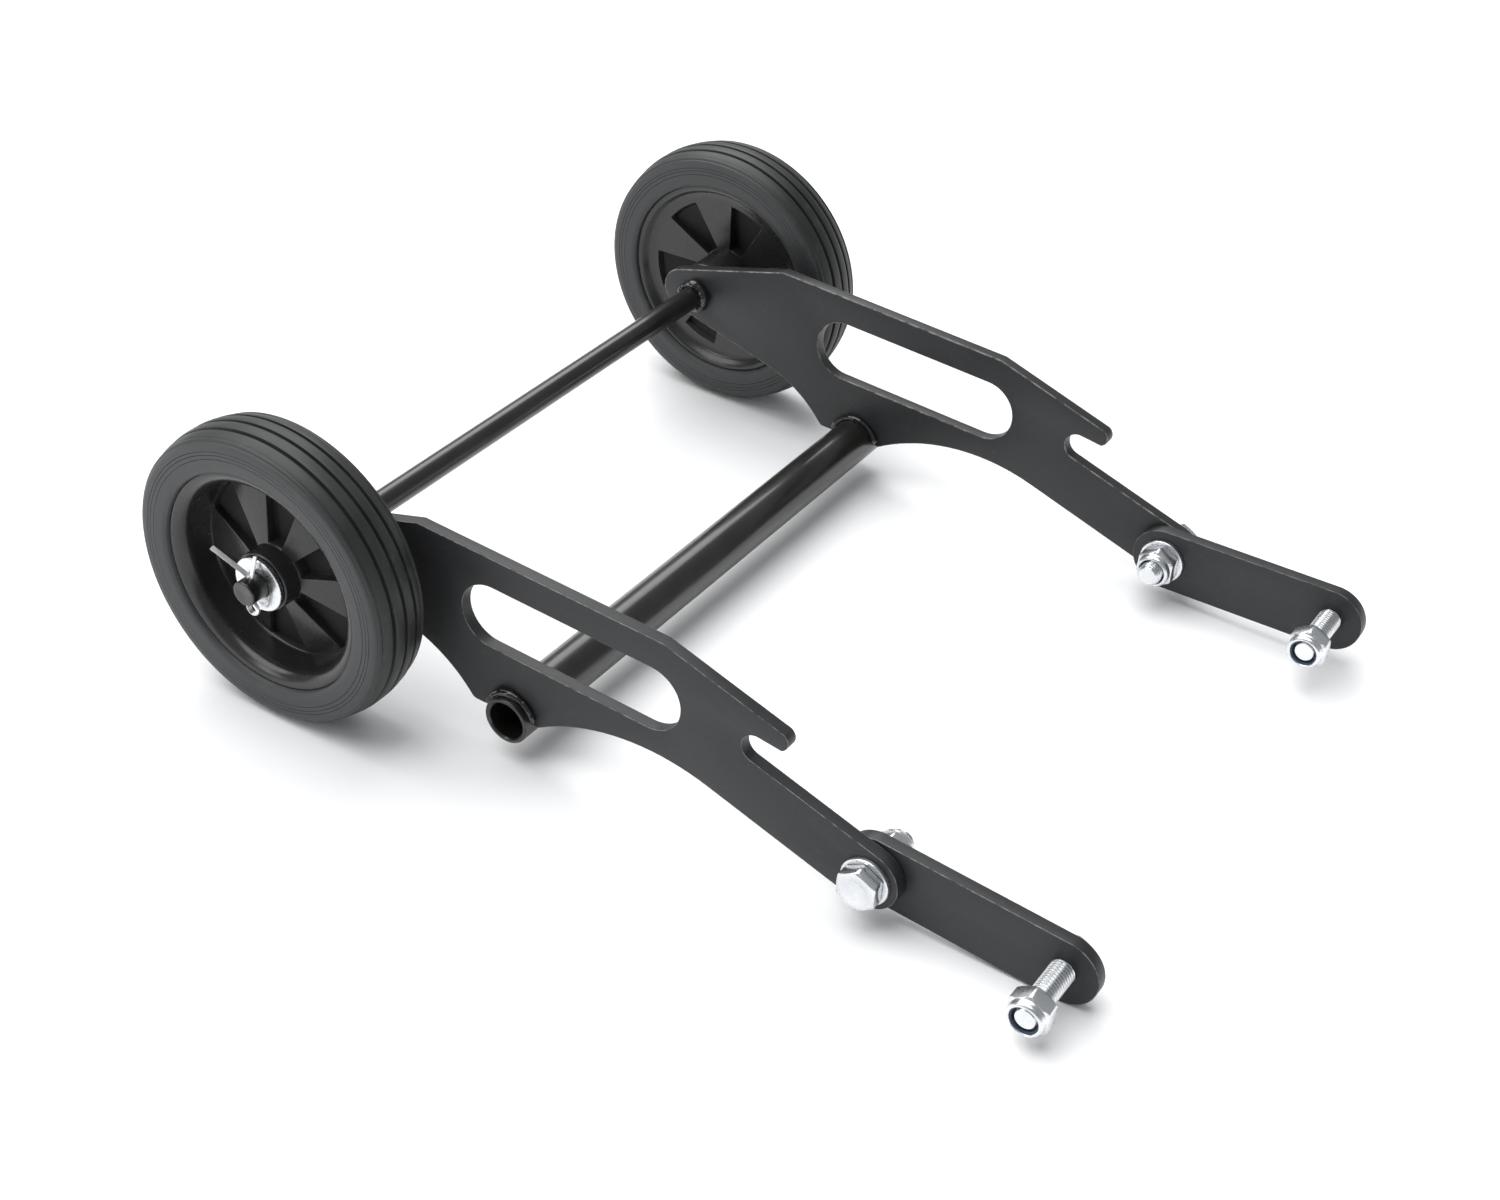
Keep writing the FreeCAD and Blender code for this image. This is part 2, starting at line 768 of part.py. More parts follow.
def pocket_section(front):
    """Radial section of a pocket that leaves one panel's thickness of web."""
    low = size("boss_radius") + size("pocket_margin")
    high = size("web_rim_radius") - size("pocket_margin")
    clear = 3.0
    depth = size("web_depth")
    floor = depth - size("panel_thick") if front else size("panel_thick")
    mouth = -clear if front else depth + clear
    return [(web_face(low, mouth), low), (web_face(high, mouth), high),
            (web_face(high, floor), high), (web_face(low, floor), low)]


def add_pocket_ring(body, name, role, section, angle_name):
    """Turn one wedge pocket about the axle and repeat it six times."""
    sketch = new_sketch(body, name + "_section", role)
    add_polygon(sketch, section)
    cut = revolve(body, sketch, name + "_pocket", cut=True)
    cut.Midplane = True
    bind(cut, "Angle", "{%s}" % angle_name)
    DOC.recompute()
    pattern = body.newObject("PartDesign::PolarPattern", name + "_ring")
    pattern.Originals = [cut]
    pattern.Axis = (sketch, ["H_Axis"])
    pattern.Angle = 360.0
    pattern.Occurrences = 6
    body.Tip = pattern
    DOC.recompute()


def make_turned(label, section):
    """Body turned about the axle from one closed section."""
    body = new_body(label)
    profile = new_sketch(body, label + "_section", "XZ_Plane")
    add_polygon(profile, section)
    revolve(body, profile, label + "_turning")
    DOC.recompute()
    return body


def make_hub_rim(label):
    return make_turned(label, rim_section())


def make_hub_boss(label):
    return make_turned(label, boss_section())


def make_hub_web(label):
    """Zigzag web: six raised and six sunk panels, alternating front and rear."""
    body = make_turned(label, web_section())
    solid_volume = body.Shape.Volume
    add_pocket_ring(body, label + "_front", "XZ_Plane", pocket_section(True),
                    "front_pocket_angle")
    front_volume = body.Shape.Volume
    add_pocket_ring(body, label + "_rear", "XY_Plane", pocket_section(False),
                    "rear_pocket_angle")
    if not body.Shape.Volume < front_volume - 1000.0 < solid_volume - 2000.0:
        raise RuntimeError("pockets cut nothing in " + label)
    return body


def make_wheels():
    """Each hub is one moulding, drawn as three touching nodes that collide as they look."""
    parts = []
    for side, name in ((1, "right"), (-1, "left")):
        facing = FreeCAD.Rotation() if side > 0 else HALF_TURN
        spun = facing.multiply(FreeCAD.Rotation(X_AXIS, size("hub_turn_" + name)))
        for builder, kind, turn in (
                (make_tyre, "wheel_tyre", facing), (make_hub_rim, "hub_rim", facing),
                (make_hub_web, "hub_web", spun), (make_hub_boss, "hub_boss", facing)):
            body = builder("%s_%s" % (name, kind))
            place(body, side * size("wheel_centre_x"), 0, 0, turn)
            parts.append(body)
    return parts


# ------------------------------------------------------------------ links

def make_link(label, x, rest_angle):
    """Straight bar with round ends and a hole at each end."""
    body = new_body(label)
    half = size("link_half_width")
    length = size("link_length")
    outline = new_sketch(body, label + "_outline", "YZ_Plane")
    add_outline(outline, (0.0, half), [
        ("line", (length, half)), ("arc", (length + half, 0.0), (length, -half)),
        ("line", (0.0, -half)), ("arc", (-half, 0.0), (0.0, half))])
    pad(body, outline, label + "_pad", "{link_thick}")
    holes = new_sketch(body, label + "_holes", "YZ_Plane")
    add_circle(holes, (0.0, 0.0), "{bolt_hole_radius}")
    add_circle(holes, (length, 0.0), "{bolt_hole_radius}")
    cut = body.newObject("PartDesign::Pocket", label + "_drilling")
    cut.Profile = holes
    cut.Type = 1
    cut.Reversed = True
    turn = FreeCAD.Rotation(X_AXIS, rest_angle)
    place(body, x, size("pivot_y"), size("pivot_z"), turn)
    return body


def link_end(rest_angle):
    """Centre of a link's far hole, measured from the axle."""
    direction = unit(rest_angle)
    return shifted((size("pivot_y"), size("pivot_z")), direction, size("link_length"))


def make_links():
    """Links with their end bolts and nuts.  Both bolts point towards +X."""
    parts = []
    thick = size("link_thick")
    for side, name in ((1, "right"), (-1, "left")):
        rest = size("link_rest_" + name)
        low_x = link_outer_x() - thick if side > 0 else -link_outer_x()
        high_x = low_x + thick
        parts.append(make_link(name + "_link", low_x, rest))
        y, z = link_end(rest)
        tilt = FreeCAD.Rotation(X_AXIS, rest)
        bolt = hex_bolt_body(name + "_end_bolt", "end_bolt_length", "end_neck", "end_crest")
        place(bolt, low_x, y, z, HALF_TURN.multiply(FreeCAD.Rotation(X_AXIS, -rest)))
        parts.append(bolt)
        nut_x = high_x + size("end_nut_reach") - size("nut_height")
        nut = lock_nut_body(name + "_end_nut")
        place(nut, nut_x, y, z, tilt)
        parts.append(nut)
        ring = insert_ring_body(name + "_end_nut_ring")
        place(ring, nut_x, y, z, tilt)
        parts.append(ring)
    return parts


# ------------------------------------------------------------------ checking and writing

def check_document():
    """Stop if any feature failed."""
    for obj in DOC.Objects:
        bad = [word for word in obj.State if word in ("Invalid", "Error")]
        if bad:
            raise RuntimeError("%s is %s" % (obj.Name, bad))


def write_parts(parts):
    os.makedirs("parts", exist_ok=True)
    for part in parts:
        shape = part.Shape
        if shape.isNull() or not shape.isValid() or not shape.Solids:
            raise RuntimeError("bad shape: " + part.Label)
        shape.exportStep(os.path.join("parts", part.Label + ".step"))
        box = shape.BoundBox
        print("%-24s solids %d  volume %10.1f  x %7.1f %7.1f  y %7.1f %7.1f  z %6.1f %6.1f" % (
            part.Label, len(shape.Solids), shape.Volume, box.XMin, box.XMax,
            box.YMin, box.YMax, box.ZMin, box.ZMax))


def main():
    fill_sheet()
    parts = [
        make_side_plate("right_side_plate", size("plate_outer_x") - size("plate_thick")),
        make_side_plate("left_side_plate", -size("plate_outer_x")),
        make_cross_tube(),
        make_axle(),
        make_axle_welds(),
        make_tube_welds(),
    ]
    parts += make_pivot_hardware()
    parts.append(make_axle_washers())
    parts.append(make_split_pins())
    parts += make_wheels()
    parts += make_links()
    DOC.recompute()
    check_document()
    write_parts(parts)


main()
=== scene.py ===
"""Looks of the two-wheel transport kit: painted plates, moulded wheels, zinc fasteners."""
import bmesh
import bpy
import math
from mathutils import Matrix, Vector, noise


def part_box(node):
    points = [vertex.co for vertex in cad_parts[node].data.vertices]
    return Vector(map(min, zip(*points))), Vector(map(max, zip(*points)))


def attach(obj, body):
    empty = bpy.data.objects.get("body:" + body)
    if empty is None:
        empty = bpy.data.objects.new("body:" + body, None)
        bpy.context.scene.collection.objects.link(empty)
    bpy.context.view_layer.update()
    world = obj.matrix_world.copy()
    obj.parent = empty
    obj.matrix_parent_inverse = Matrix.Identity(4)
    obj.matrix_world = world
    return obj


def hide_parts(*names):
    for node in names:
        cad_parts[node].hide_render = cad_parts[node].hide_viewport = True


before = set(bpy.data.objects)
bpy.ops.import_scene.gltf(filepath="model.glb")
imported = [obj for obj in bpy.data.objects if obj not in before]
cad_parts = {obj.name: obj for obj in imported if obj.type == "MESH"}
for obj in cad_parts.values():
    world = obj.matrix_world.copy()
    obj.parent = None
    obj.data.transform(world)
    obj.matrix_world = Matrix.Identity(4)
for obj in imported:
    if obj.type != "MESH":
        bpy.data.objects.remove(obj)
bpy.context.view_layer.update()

MM = 0.001
TURN = 2.0 * math.pi

# Sizes in millimetres, and one slope, that the frame's boxes don't give.
HEX_FLATS = 19.0
HEAD_HEIGHT = 7.5
NUT_HEIGHT = 12.0
NUT_HEX_HEIGHT = 8.4
COLLAR_RADIUS = 8.9
COLLAR_LIP = 6.9
THREAD_MAJOR = 6.0
THREAD_MINOR = 5.08
THREAD_PITCH = 1.75
THREAD_RUNOUT = 1.2
NUT_BORE = 6.08
RING_BORE = 6.10
CHAMFER_SLOPE = math.tan(math.radians(27.0))
PIVOT_SHANK = 35.0
WASHER_THICK = 2.5
WASHER_BORE = 6.1
AXLE_RADIUS = 6.35
TUBE_RADIUS = 12.0
TUBE_BORE = 9.6
HUB_BORE = 6.45


# ------------------------------------------------------------------ small helpers

def centre_of(node):
    """Middle of a CAD node's box, in millimetres."""
    low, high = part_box(node)
    return (low + high) / (2.0 * MM)


def span_of(node):
    low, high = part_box(node)
    return low / MM, high / MM


def clamp(value, low=0.0, high=1.0):
    return max(low, min(high, value))


def smooth(value):
    value = clamp(value)
    return value * value * (3.0 - 2.0 * value)


def finish_mesh(mesh, sharp_degrees):
    """Smooth shading with creases only where the surface turns sharply."""
    mesh.polygons.foreach_set("use_smooth", [True] * len(mesh.polygons))
    mesh.set_sharp_from_angle(angle=math.radians(sharp_degrees))
    mesh.update()


def add_piece(name, mesh, material, body, nodes=()):
    """Link a finished mesh to the scene, give it its material, tie it to its body and hide the CAD nodes
    it replaces.
    """
    mesh.materials.clear()
    mesh.materials.append(material)
    piece = bpy.data.objects.new(name, mesh)
    bpy.context.scene.collection.objects.link(piece)
    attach(piece, body)
    if nodes:
        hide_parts(*nodes)
    return piece


def turned_mesh(name, section, angles, origin, facing=1.0, ring_closed=False, closed=True):
    """Sweep a section round the X axis.  section(angle) gives (x, radius) pairs in mm.

    facing -1 turns the piece half round the vertical, so its outer end looks to -X.
    ring_closed joins a section's last point to its first, and closed joins the last angle
    to the first.
    """
    rings = [section(angle) for angle in angles]
    count = len(rings[0])
    verts = []
    for angle, ring in zip(angles, rings):
        for x, radius in ring:
            y = radius * math.cos(angle) * facing
            z = radius * math.sin(angle)
            spot = (origin[0] + facing * x, origin[1] + y, origin[2] + z)
            verts.append(tuple(value * MM for value in spot))
    faces = []
    turns = len(angles)
    last = turns if closed else turns - 1
    spans = count if ring_closed else count - 1
    for i in range(last):
        j = (i + 1) % turns
        for k in range(spans):
            m = (k + 1) % count
            faces.append((i * count + k, j * count + k, j * count + m, i * count + m))
    mesh = bpy.data.meshes.new(name)
    mesh.from_pydata(verts, [], faces)
    tidy = bmesh.new()
    tidy.from_mesh(mesh)
    bmesh.ops.remove_doubles(tidy, verts=tidy.verts, dist=1e-6)
    bmesh.ops.dissolve_degenerate(tidy, edges=tidy.edges, dist=1e-7)
    bmesh.ops.recalc_face_normals(tidy, faces=tidy.faces)
    tidy.to_mesh(mesh)
    tidy.free()
    return mesh


def even_angles(count):
    return [TURN * step / count for step in range(count)]


def arc_points(centre, radius, start, end, steps):
    """Points along an arc in a section, angles in degrees."""
    points = []
    for step in range(steps + 1):
        angle = math.radians(start + (end - start) * step / steps)
        points.append((centre[0] + radius * math.cos(angle), centre[1] + radius * math.sin(angle)))
    return points


def refined_mesh(name, node, bevel, segments):
    """Copy a CAD node's shape with clean flat faces and small rounded edges."""
    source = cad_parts[node].data
    mesh = source.copy()
    mesh.name = name
    work = bmesh.new()
    work.from_mesh(mesh)
    bmesh.ops.remove_doubles(work, verts=work.verts, dist=2e-6)
    bmesh.ops.dissolve_limit(work, angle_limit=math.radians(0.6), verts=work.verts, edges=work.edges)
    crease = math.radians(32.0)
    edges = []
    for edge in work.edges:
        if len(edge.link_faces) == 2 and edge.calc_face_angle(0.0) > crease:
            edges.append(edge)
    made = bmesh.ops.bevel(work, geom=edges, offset=bevel * MM, segments=segments, profile=0.5,
                           affect="EDGES", clamp_overlap=True, harden_normals=False)
    # The rounded edges are marked for worn paint and a painted highlight.
    wear_and_highlight = work.loops.layers.color.new("edge_wear_and_highlight")
    rounded = set(made["faces"])
    for face in work.faces:
        amount = 1.0 if face in rounded else 0.0
        for loop in face.loops:
            loop[wear_and_highlight] = (amount, amount, amount, 1.0)
    bmesh.ops.triangulate(work, faces=[f for f in work.faces if len(f.verts) > 4])
    work.to_mesh(mesh)
    work.free()
    return mesh


# ------------------------------------------------------------------ materials

def new_material(name):
    material = bpy.data.materials.new(name)
    material.use_nodes = True
    nodes = material.node_tree.nodes
    nodes.clear()
    shader = nodes.new("ShaderNodeBsdfPrincipled")
    output = nodes.new("ShaderNodeOutputMaterial")
    material.node_tree.links.new(shader.outputs["BSDF"], output.inputs["Surface"])
    return material, shader


def add_noise(material, scale, detail=3.0, stretch=(1.0, 1.0, 1.0), roughness=0.5):
    """Noise over the object's own coordinates; scale counts features per metre."""
    tree = material.node_tree
    place = tree.nodes.new("ShaderNodeTexCoord")
    mapping = tree.nodes.new("ShaderNodeMapping")
    mapping.inputs["Scale"].default_value = stretch
    texture = tree.nodes.new("ShaderNodeTexNoise")
    texture.inputs["Scale"].default_value = scale
    texture.inputs["Detail"].default_value = detail
    texture.inputs["Roughness"].default_value = roughness
    tree.links.new(place.outputs["Object"], mapping.inputs["Vector"])
    tree.links.new(mapping.outputs["Vector"], texture.inputs["Vector"])
    return texture.outputs["Fac"]


def add_ramp(material, source, stops):
    """Map a value to greys or colours; stops are (position, colour)."""
    tree = material.node_tree
    ramp = tree.nodes.new("ShaderNodeValToRGB")
    elements = ramp.color_ramp.elements
    for index, (position, colour) in enumerate(stops):
        element = elements[index] if index < len(elements) else elements.new(position)
        element.position = position
        element.color = (colour[0], colour[1], colour[2], 1.0)
    tree.links.new(source, ramp.inputs["Fac"])
    return ramp.outputs["Color"]


def grey(value):
    return (value, value, value)


def add_bumps(material, shader, layers):
    """Stack bump layers; each is (height socket, strength, distance in metres)."""
    tree = material.node_tree
    normal = None
    for height, strength, distance in layers:
        bump = tree.nodes.new("ShaderNodeBump")
        bump.inputs["Strength"].default_value = strength
        bump.inputs["Distance"].default_value = distance
        tree.links.new(height, bump.inputs["Height"])
        if normal is not None:
            tree.links.new(normal, bump.inputs["Normal"])
        normal = bump.outputs["Normal"]
    tree.links.new(normal, shader.inputs["Normal"])


def mix_colours(material, factor, first, second):
    tree = material.node_tree
    mix = tree.nodes.new("ShaderNodeMix")
    mix.data_type = "RGBA"
    tree.links.new(factor, mix.inputs["Factor"])
    for socket, value in ((mix.inputs["A"], first), (mix.inputs["B"], second)):
        if isinstance(value, tuple):
            socket.default_value = (value[0], value[1], value[2], 1.0)
        else:
            tree.links.new(value, socket)
    return mix.outputs["Result"]


def plate_paint():
    """Satin black powder coat with a fine pebble, dull patches and browned cut edges, lightened in broken
    lines as worn paint and a painted highlight.
    """
    material, shader = new_material("plate_powder_coat")
    patches = add_noise(material, 22.0, 4.0)
    dust = add_noise(material, 420.0, 2.0)
    pebble = add_noise(material, 1500.0, 2.0)
    waves = add_noise(material, 160.0, 2.0)
    base = add_ramp(material, patches, [(0.3, (0.017, 0.018, 0.019)), (0.7, (0.025, 0.026, 0.028))])
    speck = add_ramp(material, dust, [(0.62, grey(0.0)), (0.72, grey(0.35))])
    dusty = mix_colours(material, speck, base, (0.040, 0.041, 0.043))
    wear_and_highlight = material.node_tree.nodes.new("ShaderNodeVertexColor")
    wear_and_highlight.layer_name = "edge_wear_and_highlight"
    chips = add_noise(material, 240.0, 3.0)
    rubbed_and_highlit = add_ramp(material, chips, [(0.35, (0.030, 0.029, 0.028)), (0.62, (0.21, 0.20, 0.185))])
    # Worn paint and a painted highlight: the marked edges are coloured pale brown-grey in broken lines.
    colour = mix_colours(material, wear_and_highlight.outputs["Color"], dusty, rubbed_and_highlit)
    shader.inputs["Specular IOR Level"].default_value = 0.42
    material.node_tree.links.new(colour, shader.inputs["Base Color"])
    rough = add_ramp(material, patches, [(0.25, grey(0.40)), (0.75, grey(0.50))])
    material.node_tree.links.new(rough, shader.inputs["Roughness"])
    add_bumps(material, shader, [(waves, 0.04, 0.0006), (pebble, 0.06, 0.0002)])
    return material


def gloss_paint(name, colour, roughness):
    """Wet-looking black paint with a soft orange peel and faint dust."""
    material, shader = new_material(name)
    patches = add_noise(material, 35.0, 3.0)
    peel = add_noise(material, 150.0, 1.0)
    dust = add_noise(material, 240.0, 3.0)
    lighter = tuple(min(1.0, c * 1.5 + 0.004) for c in colour)
    base = add_ramp(material, patches, [(0.35, colour), (0.7, lighter)])
    material.node_tree.links.new(base, shader.inputs["Base Color"])
    rough = add_ramp(material, dust, [(0.4, grey(roughness)), (0.8, grey(roughness + 0.05))])
    material.node_tree.links.new(rough, shader.inputs["Roughness"])
    shader.inputs["Coat Weight"].default_value = 0.35
    shader.inputs["Coat Roughness"].default_value = 0.12
    add_bumps(material, shader, [(peel, 0.03, 0.0003)])
    return material


def tyre_rubber():
    """Matt solid rubber with a chalky bloom and faint moulding lines."""
    material, shader = new_material("tyre_rubber")
    bloom = add_noise(material, 30.0, 5.0)
    grain = add_noise(material, 1200.0, 3.0)
    scuffs = add_noise(material, 120.0, 4.0)
    side = add_ramp(material, bloom, [(0.32, (0.030, 0.032, 0.033)), (0.70, (0.044, 0.046, 0.047))])
    tread = add_ramp(material, bloom, [(0.32, (0.012, 0.013, 0.013)), (0.70, (0.021, 0.022, 0.022))])
    tone = material.node_tree.nodes.new("ShaderNodeVertexColor")
    tone.layer_name = "side_tone"
    base = mix_colours(material, tone.outputs["Color"], tread, side)
    mark = add_ramp(material, scuffs, [(0.62, grey(0.0)), (0.76, grey(0.30))])
    colour = mix_colours(material, mark, base, (0.070, 0.072, 0.073))
    material.node_tree.links.new(colour, shader.inputs["Base Color"])
    rough = add_ramp(material, bloom, [(0.3, grey(0.44)), (0.7, grey(0.58))])
    material.node_tree.links.new(rough, shader.inputs["Roughness"])
    add_bumps(material, shader, [(scuffs, 0.05, 0.0006), (grain, 0.08, 0.0002)])
    return material


def hub_plastic():
    """Glossy black moulded plastic with slight sink marks and fine scratches; the pocket floors are
    painted near black and duller as painted shade.
    """
    material, shader = new_material("hub_plastic")
    flow = add_noise(material, 45.0, 3.0)
    scratch = add_noise(material, 140.0, 4.0, (1.0, 3.0, 1.0))
    skin = add_ramp(material, flow, [(0.3, (0.016, 0.016, 0.017)), (0.7, (0.024, 0.024, 0.025))])
    floor = material.node_tree.nodes.new("ShaderNodeVertexColor")
    floor.layer_name = "pocket_painted_shade"
    # Painted shade: the marked pocket floors are coloured near black.
    base = mix_colours(material, floor.outputs["Color"], skin, (0.002, 0.002, 0.002))
    material.node_tree.links.new(base, shader.inputs["Base Color"])
    gloss = add_ramp(material, scratch, [(0.45, grey(0.22)), (0.75, grey(0.29))])
    rough = mix_colours(material, floor.outputs["Color"], gloss, grey(0.75))
    material.node_tree.links.new(rough, shader.inputs["Roughness"])
    add_bumps(material, shader, [(flow, 0.04, 0.0010), (scratch, 0.02, 0.0001)])
    return material


def bright_metal(name, dark, light, low_rough, high_rough, stretch=(1.0, 1.0, 1.0)):
    """Plated or drawn steel: tone patches, grain along one direction and tiny pits; the marked thread
    grooves are darkened as painted shade.
    """
    material, shader = new_material(name)
    patches = add_noise(material, 90.0, 4.0)
    grain = add_noise(material, 700.0, 3.0, stretch)
    pits = add_noise(material, 2200.0, 1.0)
    plate = add_ramp(material, patches, [(0.3, dark), (0.7, light)])
    groove = material.node_tree.nodes.new("ShaderNodeVertexColor")
    groove.layer_name = "groove"
    # Painted shade: the marked thread grooves are coloured dark grey.
    base = mix_colours(material, groove.outputs["Color"], plate, (0.10, 0.11, 0.12))
    material.node_tree.links.new(base, shader.inputs["Base Color"])
    shader.inputs["Metallic"].default_value = 1.0
    rough = add_ramp(material, grain, [(0.3, grey(low_rough)), (0.75, grey(high_rough))])
    material.node_tree.links.new(rough, shader.inputs["Roughness"])
    add_bumps(material, shader, [(grain, 0.015, 0.00005), (pits, 0.01, 0.00002)])
    return material


def nylon():
    material, shader = new_material("nylon_ring")
    cloud = add_noise(material, 260.0, 3.0)
    base = add_ramp(material, cloud, [(0.3, (0.012, 0.022, 0.050)), (0.7, (0.022, 0.038, 0.080))])
    material.node_tree.links.new(base, shader.inputs["Base Color"])
    rough = add_ramp(material, cloud, [(0.3, grey(0.42)), (0.7, grey(0.55))])
    material.node_tree.links.new(rough, shader.inputs["Roughness"])
    add_bumps(material, shader, [(cloud, 0.06, 0.0004)])
    return material


MATERIALS = {
    "plate_paint": plate_paint(),
    "tube_paint": gloss_paint("tube_gloss_paint", (0.007, 0.007, 0.006), 0.28),
    "weld_paint": gloss_paint("weld_gloss_paint", (0.007, 0.007, 0.007), 0.12),
    "tyre_rubber": tyre_rubber(),
    "hub_plastic": hub_plastic(),
    "zinc": bright_metal("zinc_plate", (0.68, 0.70, 0.72), (0.80, 0.81, 0.825), 0.25, 0.33),
    "pin_steel": bright_metal("drawn_wire", grey(0.88), grey(0.97), 0.30, 0.42, (1.0, 1.0, 4.0)),
    "nylon": nylon(),
}


def put(name, mesh, slot, body, *nodes):
    return add_piece(name, mesh, MATERIALS[slot], body, nodes)


# ------------------------------------------------------------------ plates, links, tube, axle

def make_flat_parts():
    """Plates and links, cut from sheet with softened edges."""
    for node, body in (("right_side_plate", "frame"), ("left_side_plate", "frame"),
                       ("right_link", "right_link"), ("left_link", "left_link")):
        mesh = refined_mesh(node + "_sheet", node, 0.55, 3)
        finish_mesh(mesh, 50.0)
        put(node + "_sheet", mesh, "plate_paint", body, node)


def make_tube():
    low, high = span_of("cross_tube")
    centre = centre_of("cross_tube")
    half = (high.x - low.x) / 2.0
    rim = 0.7

    def section(_angle):
        points = [(-half + rim, TUBE_BORE), (-half, TUBE_BORE + rim)]
        points += arc_points((-half + rim, TUBE_RADIUS - rim), rim, 180.0, 90.0, 4)
        stations = 24
        for step in range(1, stations):
            points.append((-half + rim + (2.0 * half - 2.0 * rim) * step / stations, TUBE_RADIUS))
        points += arc_points((half - rim, TUBE_RADIUS - rim), rim, 90.0, 0.0, 4)
        points += [(half, TUBE_BORE + rim), (half - rim, TUBE_BORE)]
        return points

    mesh = turned_mesh("tube_pipe", section, even_angles(96), centre, ring_closed=True)
    finish_mesh(mesh, 40.0)
    put("tube_pipe", mesh, "tube_paint", "frame", "cross_tube")


def make_axle():
    low, high = span_of("axle")
    centre = centre_of("axle")
    half = (high.x - low.x) / 2.0
    rim = 0.8

    def section(angle):
        dent = 0.12 * math.sin(3.0 * angle) + 0.08 * math.sin(7.0 * angle + 1.0)
        points = [(-half + 0.35, 0.0), (-half + 0.30, 1.6), (-half + 0.05 + dent * 0.3, 3.6),
                  (-half + 0.02, AXLE_RADIUS - rim - 0.4)]
        points += arc_points((-half + rim, AXLE_RADIUS - rim), rim, 180.0, 90.0, 5)
        stations = 30
        for step in range(1, stations):
            points.append((-half + rim + (2.0 * half - 2.0 * rim) * step / stations, AXLE_RADIUS))
        points += arc_points((half - rim, AXLE_RADIUS - rim), rim, 90.0, 0.0, 5)
        points += [(half - 0.02, AXLE_RADIUS - rim - 0.4), (half - 0.05 - dent * 0.3, 3.6),
                   (half - 0.30, 1.6), (half - 0.35, 0.0)]
        return points

    mesh = turned_mesh("axle_rod", section, even_angles(72), centre)
    finish_mesh(mesh, 40.0)
    put("axle_rod", mesh, "tube_paint", "frame", "axle")


# ------------------------------------------------------------------ welds

def weld_mesh(name, origin, inner, leg, length, facing, start, end, seed):
    """Rippled bead round a rod, lying against a plate at the origin's x."""
    steps = 150
    steps_across = 12
    flat_bulge = 0.74
    fill = 0.8
    sunk = 0.2
    full = end - start >= 359.0
    count = steps if full else steps + 1
    angles = [math.radians(start + (end - start) * i / steps) for i in range(count)]

    def section(angle):
        along = (math.degrees(angle) - start) / (end - start)
        fade = 1.0 if full else smooth(min(along, 1.0 - along) * 11.0)
        ripple = 0.018 * math.cos(19.0 * angle + 1.5 * math.sin(3.0 * angle + seed))
        lump = 0.15 * math.sin(2.0 * angle + seed) + 0.11 * math.sin(5.0 * angle + 2.1 * seed)
        size = (1.0 + ripple + lump) * (0.25 + 0.75 * fade)
        points = []
        for k in range(steps_across + 1):
            turn = math.radians(90.0 * k / steps_across)
            bulge = flat_bulge + 0.22 * math.sin(2.0 * turn)
            x = length * size * math.sin(turn) * bulge / flat_bulge * fill
            radius = inner + leg * size * math.cos(turn) * bulge / flat_bulge * fill
            points.append((x, radius))
        points[0] = (-sunk, points[0][1])
        points[-1] = (points[-1][0], inner - sunk)
        return points + [(-sunk, inner - sunk)]

    mesh = turned_mesh(name, section, angles, origin, facing, ring_closed=True, closed=full)
    if not full:
        work = bmesh.new()
        work.from_mesh(mesh)
        bmesh.ops.holes_fill(work, edges=[e for e in work.edges if e.is_boundary])
        bmesh.ops.recalc_face_normals(work, faces=work.faces)
        work.to_mesh(mesh)
        work.free()
    for vert in mesh.vertices:
        push = noise.noise(vert.co * 150.0) * 0.00022
        vert.co += Vector((push * facing, push, push))
    finish_mesh(mesh, 60.0)
    return mesh


def make_welds():
    plate_low, plate_high = span_of("right_side_plate")
    axle = centre_of("axle")
    tube = centre_of("cross_tube")
    for side, tag in ((1.0, "right"), (-1.0, "left")):
        origin = Vector((side * plate_low.x, axle.y, axle.z))
        mesh = weld_mesh("axle_bead_" + tag, origin, AXLE_RADIUS, 4.1, 5.6, -side, 0.0, 360.0, 1.0 + side)
        put("axle_bead_" + tag, mesh, "weld_paint", "frame", "axle_welds")
        for face, facing, spot in ((plate_high.x, side, "outer"), (plate_low.x, -side, "inner")):
            origin = Vector((side * face, tube.y, tube.z))
            name = "tube_bead_%s_%s" % (tag, spot)
            mesh = weld_mesh(name, origin, TUBE_RADIUS, 3.2, 3.9, facing, 2.0, 178.0, 2.0 + side + face)
            put(name, mesh, "weld_paint", "frame", "cross_tube_welds")


# ------------------------------------------------------------------ fasteners

def hex_radius(angle):
    """Distance from axis to a hexagon's side, with slightly rounded corners."""
    sector = TURN / 6.0
    local = (angle + sector / 2.0) % sector - sector / 2.0
    sharp = HEX_FLATS / 2.0 / math.cos(local)
    return min(sharp, HEX_FLATS / math.sqrt(3.0) - 0.28)


def hex_angles():
    """Angles round a hexagon, closer together at its corners."""
    offsets = (0.0, 8.0, 15.0, 21.0, 25.0, 27.5, 28.6, 29.3,
               30.0, 30.7, 31.4, 32.5, 35.0, 39.0, 45.0, 52.0)
    angles = []
    for corner in range(6):
        base = TURN * corner / 6.0
        for offset in offsets:
            angles.append(base + math.radians(offset))
    return angles


def thread_radius(x, angle, end):
    """Radius of an M12 thread at a station, fading to a chamfer at its end."""
    phase = (x / THREAD_PITCH - angle / TURN) % 1.0
    wave = abs(2.0 * phase - 1.0)
    ridge = clamp(wave * 1.5 - 0.22)
    radius = THREAD_MINOR + (THREAD_MAJOR - THREAD_MINOR) * ridge
    return min(radius, THREAD_MAJOR - 1.3 + max(0.0, (end - x)) * 1.3 / THREAD_RUNOUT)


